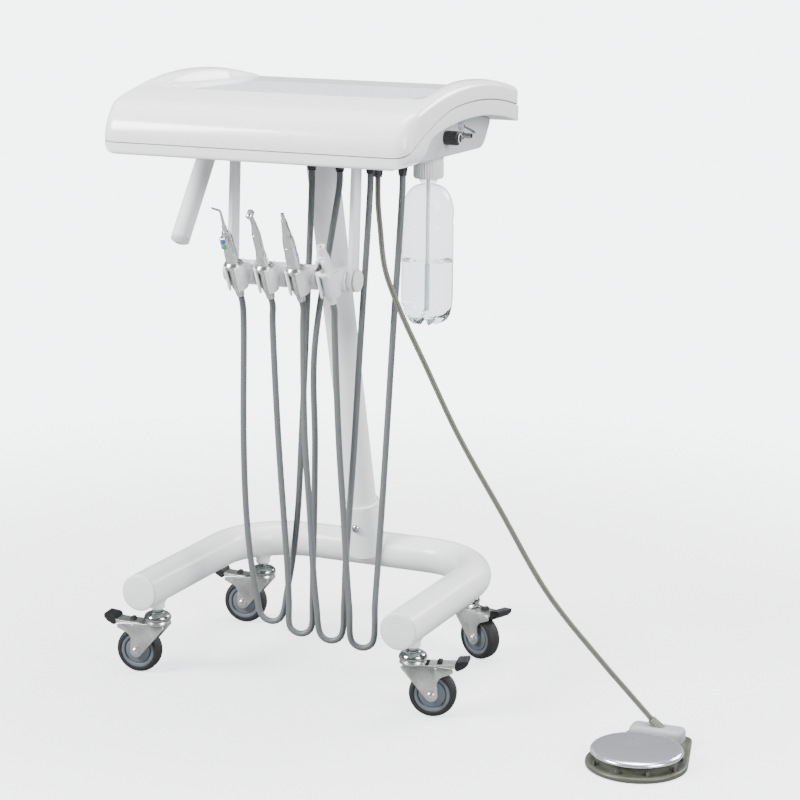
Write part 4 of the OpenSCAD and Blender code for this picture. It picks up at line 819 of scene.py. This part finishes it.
def addHousing(s):
    angleAt = lambda y: math.degrees(math.acos((y - console["archY"]) / s["underR"]))
    top = arcPoints((console["archY"], console["archZ"]), s["underR"] - s["gap"], angleAt(s["back"] + 34),
                    angleAt(s["front"]), 50)
    side = rounded([[s["front"], s["z"] + 8], [s["front"] + 8, s["z"]], [s["back"], s["z"]],
                    [s["back"] + 15, s["z"] + 12], [s["back"] + 32, s["z"] + 36]], [0, 4, 10, 12, 4], 6)
    outline = evenRing(np.vstack([side, top]), 5)
    rows = roundedRows(-s["half"], s["half"], s["edge"], 5)
    between = np.linspace(-s["half"] + s["edge"], s["half"] - s["edge"], 41)[1:-1]
    points, faces = slab(outline, rows[:6] + [(0, x) for x in between] + rows[6:], caps=(False, False))
    shapes = [placed((points, faces), turn=endways)]
    # the ends: rings that close on a line through the middle of the outline
    for ring in endRings(points @ endways.T, len(outline)):
        middle = np.column_stack([ring[:, 0], np.clip(ring[:, 1], -285, -75), 0 * ring[:, 0]])
        middle[:, 2] = 882 + 8 * np.cos(np.radians((middle[:, 1] + 180) / 110 * 90))
        shapes.append(gridShape(np.stack([ring, ring * 0.45 + middle * 0.55, middle])))
    bush = rounded([[3.1, 0], [6, 0], [6, 9.2], [3.1, 9.2], [3.1, 1]], [0, 0, 0.6, 0.3, 0], 3)
    shapes.append(placed(turned(bush, 40), (s["half"] - 0.3, *s["toggle"]), endways))
    addPiece("controlHousing", shapes, "housingGrey", "unit", "control_housing", sharp=45)


def addControls(s):
    # knob with shallow flutes and a lighter end
    angles = np.linspace(0, 2 * np.pi, 144, endpoint=False)
    knob = waved(s["knobRows"], angles, -0.7 * np.clip(np.cos(angles * 12), 0, 1) ** 2)
    addPiece("controlKnob", [placed(gridShape(knob, caps=(True, True)), (s["half"], *s["knob"]), endways)],
             "blackPlastic", "knob", "control_knob", sharp=40)
    addPiece("knobCap", [placed(turned(s["knobCap"], 48), (s["half"] + 0.05, *s["knob"]), endways)], "capGrey", "knob",
             sharp=40)
    # air inlet: hexagon and a barbed nipple with an open end
    inlet = [placed(turned(s["nipple"], 40), (s["half"], *s["inlet"]), endways),
             placed(turned(s["hexagon"], 6), (s["half"] + 0.05, *s["inlet"]), endways)]
    addPiece("airInlet", inlet, "steelDark", "unit", "air_inlet", sharp=30)
    at, across = (s["toggleX"], *s["toggle"]), turnTo((0, 1, 0))
    tilted = turnTo((sin(s["toggleTilt"]), 0, cos(s["toggleTilt"])), (0, 1, 0))
    toggle = [placed(turned(rounded(s["lever"], [0, 0, 1, 2, 1, 1, 0], 4), 32), at, tilted),
              placed(turned(s["barrel"], 32), at, across), placed(turned(s["pin"], 16), at, across)]
    addPiece("toggleLever", toggle, "steelDark", "toggle", "toggle_lever", sharp=30)


def addGlands(s):
    # a hexagon nut over a tapered, ringed strain relief
    run = np.linspace(0, s["long"], 61)
    radius = s["narrow"] + s["widen"] * run / s["long"] + s["ripple"] * np.cos(run / s["long"] * 2 * np.pi * s["rings"])
    profile = np.vstack([[[0, 0.0], [5.6, 0.0]], np.column_stack([radius, run]), [[8.4, 20.1], [0, 20.1]]])
    places = [(hoses[body]["outlet"], hoses["outletY"]) for body in hoseBodies] + [s["foot"]]
    glands = [placed(turned(shape, steps), (x, y, s["z"])) for x, y in places
              for shape, steps in ((profile, 40), (s["nut"], 6))]
    addPiece("hoseGlands", glands, "blackPlastic", "unit", "hose_glands", sharp=30)


addHousing(housing)
addControls(housing)
addGlands(glandSettings)
print("housing made")

# water bottle, its cap, the water and the pickup tube
bottle = {
    "at": (180, -195, 0), "low": 590, "neck": 12, "wall": 1.0, "water": 692, "steps": 160, "ribs": 0.25,
    "ribsFrom": 66, "ribsTo": 156, "ribPitch": 18, "widest": 40.5, "shoulder": 174, "shoulderLong": 46,
    # radius at each height over the foot
    "heights": [0, 3, 8, 16, 30, 44, 60, 156, 160, 164, 172],
    "radii": [12, 24, 31.5, 36.6, 39.8, 40.5, 40.5, 40.5, 39.2, 39.2, 40.5],
    "lobes": 5, "lobeTurn": 18, "footHigh": 34, "footIn": 13, "footUp": 15, "dimple": 10,
    # neck and cap: radius, height and share of the grip ribs
    "neckRows": [(12, 812.5, 0), (12, 814.8, 0), (14, 815.1, 0), (14, 817.9, 0), (12, 818.2, 0), (12, 828, 0),
                 (11, 828, 0), (11, 813, 0)],
    "capRows": [(12.1, 828, 0), (12.1, 820.2, 0), (20.8, 820, 0), (22.4, 820.6, 0), (23, 822.2, 0), (23, 824, 0.9),
                (23, 843, 0.9), (23, 845, 0), (23.3, 846, 0), (23.3, 854.6, 0), (22.2, 855.9, 0), (8, 856, 0),
                (8, 863.8, 0), (3.1, 864, 0), (3.1, 829, 0)],
    "tube": [[2, 616.5], [2.95, 616], [3, 616.5], [3, 853.6], [2.95, 854], [2, 854], [2, 616.5]],
}


def bottleSkin(s, inset, topZ=None):
    # radius by height and angle: waists and a shoulder, and at the foot five lobes with hollows between
    angles = np.linspace(0, 2 * np.pi, s["steps"], endpoint=False)
    heights = np.concatenate([np.linspace(0, 44, 34), np.linspace(46, 160, 60), np.linspace(161, 222, 44)])
    hollow = (1 - (0.5 + 0.5 * np.cos(s["lobes"] * (angles - math.radians(s["lobeTurn"])))))[None, :]
    shoulder = np.sqrt(np.clip(1 - np.clip((heights - s["shoulder"]) / s["shoulderLong"], 0, 1) ** 2, 0, 1)) ** 0.94
    body = np.where(heights > s["shoulder"], s["neck"] + (s["widest"] - s["neck"]) * shoulder,
                    np.interp(heights, s["heights"], s["radii"]))
    ribs = 0.5 * (np.cos((heights - s["ribsFrom"]) / s["ribPitch"] * 2 * np.pi) - 1) \
        * ((heights > s["ribsFrom"]) & (heights < s["ribsTo"]))
    foot = np.clip(1 - heights / s["footHigh"], 0, 1)[:, None]
    radius = (body + s["ribs"] * ribs - inset)[:, None] - hollow * foot ** 1.3 * s["footIn"]
    z = heights[:, None] + hollow * foot ** 2.2 * s["footUp"]
    grid = np.stack([radius * np.cos(angles), radius * np.sin(angles), s["low"] + z + inset * (z < 6)], -1)
    first = grid[0]
    centre = [np.column_stack([first[:, :2] * f, first[:, 2] + (1 - f) * s["dimple"] + inset]) for f in (0, 0.35, 0.7)]
    grid = np.concatenate([np.stack(centre), grid])
    if topZ is not None:
        grid[..., 2] = np.minimum(grid[..., 2], topZ)
    return grid


def addBottle(s):
    onCap = lambda shape: [placed(shape, s["at"])]
    rings = waved(s["neckRows"], np.linspace(0, 2 * np.pi, s["steps"], endpoint=False), 0)
    grid = np.concatenate([bottleSkin(s, 0), rings, bottleSkin(s, s["wall"])[::-1]])
    addPiece("waterBottle", onCap(gridShape(grid)), "clearPet", "bottle", "water_bottle", sharp=60)
    water = bottleSkin(s, s["wall"] - 0.12, s["water"])
    water = water[:np.argmax(water[:, 0, 2] >= s["water"] - 1e-6) + 1]
    surface = np.stack([water[-1] * [f, f, 1] for f in (0.96, 0.6, 0.0)])
    surface[..., 2] = s["water"] - np.array([0.9, 1.3, 1.3])[:, None]
    addPiece("water", onCap(gridShape(np.concatenate([water, surface]))), "water", "bottle", sharp=60)
    # cap: fine grip ribs under a plain band
    angles = np.linspace(0, 2 * np.pi, 288, endpoint=False)
    grid = waved(s["capRows"], angles, 0.9 * np.clip(np.cos(angles * 36), -0.3, 1))
    addPiece("bottleCap", onCap(gridShape(grid, along=True)), "capWhite", "unit", "bottle_cap",
             sharp=45)
    addPiece("pickupTube", onCap(turned(s["tube"], 32)), "tubeClear", "unit", "pickup_tube", sharp=40)
    print("bottle made")


addBottle(bottle)

# handle
handle = {"radius": 15, "length": 168, "lean": 36, "top": (-175, -248, 856), "mount": (50, 60, 10), "mountThick": 6,
          "inHousing": -26, "cap": [[0, -10], [12.4, -10], [12.4, 0], [14.2, 0.0], [14.9, 0.5], [15, 1.3], [14.9, 2.2]],
          "domeR": 23.4, "domeDown": -16, "domeFrom": 2.4}


def addHandle(s):
    away = np.array([0, -sin(s["lean"]), -cos(s["lean"])])
    top, low, (x, y, z) = np.array(s["top"]), s["inHousing"], s["top"]
    run = np.concatenate([np.linspace(low, 20, 24), np.linspace(24, s["length"] - 0.4, 30)])
    profile = np.vstack([[[0, low]], np.column_stack([0 * run + s["radius"], run]), [[0, run[-1]]]])
    tube = placed(turned(profile, 64), top, turnTo(away))
    tube = cutLevel(tube, top, away, z - s["mountThick"], bead=3, reach=7, core=6)
    mount = placed(plate(*s["mount"], z - s["mountThick"], z, 1.2), (x, y - 4, 0))
    addPiece("handleTube", [tube, mount], "powderWhite", "unit", "handle_tube")
    dome = arcPoints((0, s["domeDown"]), s["domeR"], 50, 90, 14)
    cap = turned(np.vstack([s["cap"], dome[dome[:, 1] > s["domeFrom"]]]), 64)
    addPiece("handleCap", [placed(cap, top + away * s["length"], turnTo(away))], "capGrey", "unit",
             "handle_cap", sharp=40)
    print("handle made")


addHandle(handle)

# bar, end discs, arms and the four holders
barSettings = {"radius": 14, "half": 111, "y": -306, "z": 670, "armHalf": 4, "armX": 104, "armR": 18,
               "armBend": 851, "armTop": 855.9,
               "disc": [[0, 5], [9, 4.8], [13.6, 4.2], [16.4, 3.0], [17.4, 1.6], [17.5, 0.5], [17.1, 0], [0, 0]]}
holderSettings = {"clampR": 19.5, "clampHalf": 19, "bore": 14.05, "cradleR": 16.5, "cradleBore": 12, "slot": 7.5,
                  "low": -6, "high": 36, "outerSteps": 60, "boreSteps": 50,
                  "web": [[-9, 11], [9, 11], [15.5, 21], [15.5, 25], [-15.5, 25], [-15.5, 21]]}


def addBar(b):
    at, half, r, y, z = (0, b["y"], b["z"]), b["half"], b["radius"], b["y"], b["z"]
    tube = [[0, -half], [r - 0.6, -half], [r, 0.6 - half], [r, half - 0.6], [r - 0.6, half], [0, half]]
    addPiece("holderBar", [placed(turned(tube, 64), at, endways)], "steelSatin", "unit", "holder_bar",
             sharp=40)
    discs = [placed(turned(b["disc"], 64), np.array(at) + [way * half, 0, 0], turnTo((way, 0, 0), (0, 1, 0)))
             for way in (-1, 1)]
    addPiece("barEndCaps", discs, "capGrey", "unit", "bar_end_caps")
    high, bend = b["armTop"], b["armBend"]
    upper = rounded([[y + 14, z + 14], [y + 22, bend], [y + 30, high], [y - 5, high], [y - 2, bend],
                     [y - 13.5, z + 14]], [8, 6, 1, 1, 6, 8], 5)
    arm = evenRing(np.vstack([arcPoints((y, z), b["armR"], -200, 20, 34), upper]), 3)
    arm = slab(arm, roundedRows(-b["armHalf"], b["armHalf"], 1.3))
    addPiece("barArms", [placed(arm, (way * b["armX"], 0, 0), endways) for way in (-1, 1)], "powderWhite", "unit",
             "bar_arms")


def addHolder(b, s, number):
    # a split clamp round the bar, a web, and a C-shaped cradle open at the front
    x, node = holderX[number], "holder_" + str(number + 1)
    bore, r, half = s["bore"], s["clampR"], s["clampHalf"]
    clamp = [[bore, -half], [r - 1.4, -half], [r, 1.4 - half], [r, -6], [r - 0.5, -5.4], [r - 0.5, 5.4], [r, 6],
             [r, half - 1.4], [r - 1.4, half], [bore, half], [bore, -half]]
    shapes = [placed(turned(clamp, 64), (x, b["y"], b["z"]), endways)]
    opening, inner = (math.degrees(math.asin(s["slot"] / s[way])) for way in ("cradleR", "cradleBore"))
    outline = np.vstack([arcPoints((0, 0), s["cradleR"], -90 + opening, 270 - opening, s["outerSteps"]),
                         arcPoints((0, 0), s["cradleBore"], 270 - inner, -90 + inner, s["boreSteps"])])
    cradle = slab(outline, roundedRows(s["low"], s["high"], 1.1), caps=(False, False))
    parts = [cradle]
    for ring in endRings(cradle[0], len(outline)):
        shell, hole = ring[:s["outerSteps"]], ring[s["outerSteps"]:][::-1]
        hole = np.stack([np.interp(np.linspace(0, 1, s["outerSteps"]), np.linspace(0, 1, s["boreSteps"]), hole[:, k])
                         for k in range(3)], -1)
        parts.append(gridShape(np.stack([shell, shell * 0.5 + hole * 0.5, hole]), around=False))
    web = evenRing(rounded(s["web"], [0, 0, 4, 0, 0, 4], 5), 2)
    parts.append(slab(web, roundedRows(-3, 27, 1.2)))
    shapes += [onGrip(part, number) for part in parts]
    addPiece(node.replace("_", ""), shapes, "holderWhite", "unit", node, sharp=35)


addBar(barSettings)
for number in range(4):
    addHolder(barSettings, holderSettings, number)
print("holders made")

# instruments: turned handles with grip rings, on the holders' axes
syringe = {
    "top": 84, "grip": 9, "head": [[-7, -13], [7, -13], [7, 1], [-7, 1]], "bend": 50, "bendR": 10,
    "straight": 30, "grow": ([0, 10, 12], [2.9, 2.0, 1.8, 1.75]),
    # from the head's top
    "shoulder": [[0, -1], [9, -0.6], [8.8, 1.5], [7.4, 6], [5.9, 11], [5.5, 12], [0, 12]],
    "nut": [[0, 12], [3.8, 12], [4, 12.6], [4, 20.6], [3.4, 22], [0, 22]],
    "button": [[0, 15.5], [2.2, 15.5], [3.3, 15.1], [3.75, 14.4], [3.75, 13.6], [3.15, 13.4], [3.15, 8], [0, 8]],
}
turbine = {
    "top": 96, "grip": 7, "neck": [[0, 0, 96], [0, 0, 110], [0, -0.6, 116], [0, -2.4, 123], [0, -5.2, 131.5]],
    "neckR": ([0, 0.35, 0.62, 1], [6.9, 4.9, 4.1, 3.5]), "headAt": (0, -4.6, 132.5), "headLean": 22,
    "head": [[0, -7.2], [4.2, -7.2], [5.3, -6.4], [5.5, -5.2], [5.5, 4.6], [4.9, 5.8], [3, 6.4], [2.9, 6.9], [0, 6.9]],
}
motor = {
    "top": 78, "grip": 9.9,
    "nose": [[0, 77.5], [9.9, 77.8], [9.7, 79.5], [9.4, 80], [9.4, 81], [9.7, 81.5], [8.6, 92], [7.5, 98], [7.0, 99],
             [6.9, 101], [6.0, 108], [4.5, 124], [4.1, 124.8], [3.0, 125], [3.0, 135.4], [2.6, 136], [0, 136]],
}
suction = {
    "top": 66, "grip": 9.5, "leverAt": (-12, -13), "prong": 5.6, "prongIn": 4.6, "spine": -4.8,
    "block": [[-8, -15], [-3.2, -15], [-3.2, -8.2], [3.2, -8.2], [3.2, -15], [8, -15], [8, -1], [-8, -1]],
    "thumb": [[-16, 0.6], [0, -2.2], [3.4, 0], [0, 3.4], [-3, 3.0], [-13, 2.2], [-16, 3.4]],
    "pin": [[0, -7.5], [1.5, -7.5], [1.5, 7.5], [0, 7.5]],
    # from the handle's top
    "socket": [[4.5, -1], [4.5, 15], [5, 16], [7, 16], [7.5, 15.4], [7.5, 13.4], [7.1, 13], [7.1, 11.8], [7.5, 11.4],
               [7.5, -0.2], [0, -0.2]],
}


def gripShape(top, length, rings=True):
    # the hose's nut, the grip, the collar that rests on the cradle and the body over it, to radius top at length
    low = [[0, -22], [5.6, -22], [6.4, -21.2], [7.4, -11], [8.6, -8.6], [9.6, -5.4], [10, -4], [10, 27.9]]
    collar = [[14.05, 34.4], [14.25, 35.2], [14.25, 37.2], [13.7, 38], [10.2, 41.4]]
    run = np.linspace(43, 56, 40)
    waist = np.interp(run, [43, 59], [10, top + 1])
    knurl = -0.28 * (0.5 - 0.5 * np.cos((run - 43) / 13 * 2 * np.pi * 6)) if rings else 0 * run
    upper = [[top + 0.8, 59.5], [top + 0.1, 64.5], [top, 66], [top, length - 0.6], [top - 0.6, length], [0, length]]
    return turned(np.vstack([low, collar, np.column_stack([waist + knurl, run]), upper]), 56)


def addSyringe(s):
    # turned handle, a head with two round buttons and a bent nozzle
    top, r, straight = s["top"], s["bendR"], s["straight"]
    head = evenRing(rounded(s["head"], [3, 3, 1, 1], 5, closed=True), 1.4)
    body = [gripShape(s["grip"], top), turned(np.array(s["shoulder"]) + [0, top], 48),
            slab(head, roundedRows(top - 14, top + 6, 1.6))]
    addPiece("syringeBody", [onGrip(part, 0) for part in body], "steelSatin", "syringe", "syringe_body",
             sharp=34)
    bend = np.stack([[0, -(r - r * cos(a)), straight + r * sin(a)] for a in np.linspace(0, s["bend"], 14)])
    last = bend[-1] + np.linspace(1, 27, 14)[:, None] * [0, -sin(s["bend"]), cos(s["bend"])]
    path = np.vstack([np.linspace(0, straight, 12)[:-1, None] * [0, 0, 1.0], bend, last])
    tip = carried(path, circle(1, 24), np.interp(np.arange(len(path)), s["grow"][0] + [len(path) - 1], s["grow"][1]))
    nozzle = [turned(np.array(s["nut"]) + [0, top], 40), placed(tip, (0, 0, top + 14))]
    addPiece("syringeNozzle", [onGrip(part, 0) for part in nozzle], "steelSatin", "syringe",
             "syringe_nozzle", sharp=34)
    forward = turnTo((0, -1, 0), (1, 0, 0))
    for colour, node, z in (("blue", "air_button", top + 1), ("green", "water_button", top - 9)):
        addPiece(node.replace("_b", "B"), [onGrip(placed(turned(s["button"], 40), (0, 0, z), forward), 0)],
                 colour + "Button", node, node, sharp=34)


def addHandpieces(t, m):
    # turbine: slim body, an angled neck and a small round head; motor with a straight nose
    path = smoothPath(t["neck"], 1.5)
    axis = turnTo((0, -cos(t["headLean"]), -sin(t["headLean"])))
    parts = [gripShape(t["grip"], t["top"]),
             carried(path, circle(1, 32), np.interp(np.linspace(0, 1, len(path)), *t["neckR"])),
             placed(turned(t["head"], 44), t["headAt"], axis)]
    addPiece("turbineHandpiece", [onGrip(part, 1) for part in parts], "steelSatin", "turbine",
             "turbine_handpiece", sharp=34)
    parts = [gripShape(m["grip"], m["top"]), turned(m["nose"], 56)]
    addPiece("motorHandpiece", [onGrip(part, 2) for part in parts], "steelSatin", "motor",
             "motor_handpiece", sharp=34)


def addSuction(s):
    # a moulded handle with a lever between two prongs and an open socket for the cannula
    size = s["top"]
    block = evenRing(rounded(s["block"], [2.5, 0.6, 0.5, 0.5, 0.6, 2.5, 0, 0], 4, closed=True), 1.0)
    prongs = slab(block, roundedRows(size - 22, size - 4, 1.2), caps=(False, False))
    parts = [gripShape(s["grip"], size, False), turned(np.array(s["socket"]) + [0, size], 48), prongs]
    for ring in endRings(prongs[0], len(block)):
        # the end closes on a line inside each prong, and from there on the spine behind them
        middle = np.column_stack([np.sign(ring[:, 0]) * np.clip(np.abs(ring[:, 0]), 0, s["prong"]),
                                  np.clip(ring[:, 1], -12.5, s["spine"]), ring[:, 2]])
        middle[:, 1] = np.where(np.abs(middle[:, 0]) < s["prongIn"], s["spine"], middle[:, 1])
        spine = np.column_stack([middle[:, 0], 0 * middle[:, 0] + s["spine"], middle[:, 2]])
        parts.append(gridShape(np.stack([ring, middle, spine])))
    addPiece("suctionHandle", [onGrip(part, 3) for part in parts], "holderWhite", "suction",
             "suction_handle", sharp=36)
    at = (0, s["leverAt"][0], size + s["leverAt"][1])
    thumb = evenRing(rounded(s["thumb"], [1, 2, 2, 2, 2, 3, 1], 5, closed=True), 0.9)
    lever = [slab(thumb, roundedRows(-2.8, 2.8, 0.7)), turned(s["pin"], 24)]
    addPiece("suctionLever", [onGrip(placed(part, at, endways), 3) for part in lever], "blackPlastic", "suction_lever",
             "suction_lever", sharp=36)


addSyringe(syringe)
addHandpieces(turbine, motor)
addSuction(suction)
print("instruments made")

# foot control
foot = {
    "at": (612, -399), "turn": 2, "block": (3, 102), "blockSize": (84, 36), "baseR": 76, "backR": 14,
    "backAt": (37, 113), "pegAt": 67.2, "coilR": 22, "coilLow": 9.3,
    "coilHigh": 25.7, "coils": 4, "wire": 1, "squashFrom": 0.0083,
    "disc": [[0, 29.9], [4, 30.05], [8, 30.55], [11, 30.85], [14, 30.95], [24, 30.85], [34, 30.55], [44, 30.05],
             [52, 29.45], [58, 28.8], [62.5, 28], [65.4, 27.1], [67.3, 25.9], [68.5, 24.4], [69, 22.8], [69, 22.2],
             [68.4, 21.2], [67.2, 21], [66, 21.4], [65.6, 23.6], [62, 25.4], [52, 26.8], [44, 27], [12.4, 27],
             [12.2, 15.2], [8.1, 15], [8.1, 28], [0, 28.4]],
    "ring": [[53, 7], [61, 7], [61, 17.2], [60.2, 18], [53.8, 18], [53, 17.2], [53, 7]],
    "post": [[0, 7], [8, 7], [8, 21], [7.2, 21.8], [0, 21.8]],
    "peg": [[0, 7], [2.8, 7], [2.5, 13.9], [1.7, 14.7], [0, 14.7]],
    # inset and height
    "baseRows": [(1.2, 0), (0.4, 0.5), (0, 1.6), (0, 4.6), (0.5, 6.2), (1.6, 7.3), (3, 7.8), (5, 8)],
    "blockRows": [(0, 8.05), (0, 17.5), (0.3, 20.0), (1.2, 22.4), (2.8, 24.4), (5.0, 25.5), (8.5, 26)],
}


def addFoot(s):
    turn, at = aboutZ(s["turn"]), np.array([*s["at"], 0.0])
    onFoot = lambda shape, shift=(0, 0, 0): placed(placed(shape, shift), at, turn)
    # pressed disc: a low dome with a dimple in the middle, rolled over into its skirt
    addPiece("footDisc", [onFoot(turned(s["disc"], 144))], "discChrome", "pedal_disc", "foot_disc",
             sharp=34)
    # base: one outline round the disc and the hose cover, with a soft upper edge, then the ring, post and pegs
    x, y = s["backAt"]
    outline = np.vstack([circle(s["baseR"], 180), circle(s["backR"], 60) + [s["block"][0] + x, y],
                         circle(s["backR"], 60) + [s["block"][0] - x, y]])
    outline = evenRing(outline[convex_hull_2d([tuple(point) for point in outline])], 3)
    shapes = [onFoot(slab(outline, s["baseRows"])), onFoot(turned(s["ring"], 120)), onFoot(turned(s["post"], 40))]
    shapes += [onFoot(turned(s["peg"], 20), (s["pegAt"] * cos(angle), s["pegAt"] * sin(angle), 0))
               for angle in range(20, 380, 40)]
    addPiece("footBase", shapes, "footOlive", "unit", "foot_base", sharp=36)
    # spring: a round wire wound between the base and the disc
    steps = np.linspace(0, 1, s["coils"] * 36 + 1)
    around = steps * 2 * s["coils"] * np.pi
    coil = np.column_stack([s["coilR"] * np.cos(around), s["coilR"] * np.sin(around),
                            s["coilLow"] + (s["coilHigh"] - s["coilLow"]) * steps])
    spring = addPiece("footSpring", [onFoot(carried(coil, circle(s["wire"], 12)))], "steelSatin", "unit",
                      "foot_spring")
    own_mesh(spring)
    # hose cover: a rounded block with a crowned top, and the ringed strain relief
    x, y = np.array(s["blockSize"]) / 2
    block = evenRing(rounded([[x, -y], [x, y], [-x, y], [-x, -y]], 12, 8, closed=True), 2)
    h = footHose
    run = np.linspace(-6, h["reliefLength"], 60)
    radius = np.interp(run, [-6, h["reliefLength"]], [8.4, 6]) + 0.35 * np.cos((run + 6) / 20 * 2 * np.pi * 5)
    relief = turned(np.vstack([[[0, -6]], np.column_stack([radius, run]), [[0, h["reliefLength"]]]]), 40)
    addPiece("footHoseRelief", [placed(relief, h["reliefFoot"], turnTo(reliefDir, (0, 1, 0)))], "twinHose", "unit")
    addPiece("footHoseCover", [onFoot(slab(block, s["blockRows"]), (*s["block"], 0))], "coverGrey", "unit",
             "foot_hose_cover", sharp=36)
    print("foot control made")


addFoot(foot)

floorSettings = {"reach": 14, "low": 0.0005, "shade": (0.90, 0.905, 0.91), "fadeFrom": 0.6, "fadeTo": 1.9,
                 "least": 0.35, "bounce": 0.28}


def addFloor(s):
    # pale to the camera and fading into the backdrop with distance; the parts get less light back from it
    r, z = s["reach"], -s["low"]
    mesh = bpy.data.meshes.new("studioFloor")
    mesh.from_pydata([(-r, -r, z), (r, -r, z), (r, r, z), (-r, r, z)], [], [(0, 1, 2, 3)])
    material = newMaterial("floorPale", s["shade"], 0.7, spread=0.002, bump=0.0)
    tree = material.node_tree
    place, length = newNode(tree, "TexCoord"), newNode(tree, "VectorMath")
    fade = newNode(tree, "MapRange", {"From Min": s["fadeFrom"], "From Max": s["fadeTo"], "To Min": s["least"]})
    glow, blend = newNode(tree, "Emission", {"Color": backdrop["shade"]}), newNode(tree, "MixShader")
    dull, pick = newNode(tree, "BsdfDiffuse", {"Color": (s["bounce"],) * 3 + (1,)}), newNode(tree, "MixShader")
    path, either = newNode(tree, "LightPath"), newNode(tree, "Math")
    length.operation, fade.interpolation_type, either.operation = "LENGTH", "SMOOTHSTEP", "MAXIMUM"
    join(tree, (place, "Object", length, 0), (length, "Value", fade, "Value"), (fade, "Result", blend, "Fac"),
         (strengthBy(tree, backdrop), "Value", glow, "Strength"),
         (tree.nodes["Principled BSDF"], "BSDF", blend, 1), (glow, "Emission", blend, 2),
         (path, "Is Camera Ray", either, 0), (path, "Is Transmission Ray", either, 1), (either, "Value", pick, "Fac"),
         (dull, "BSDF", pick, 1), (blend, "Shader", pick, 2),
         (pick, "Shader", tree.nodes["Material Output"], "Surface"))
    mesh.materials.append(material)
    addToScene("studioFloor", mesh)


addFloor(floorSettings)
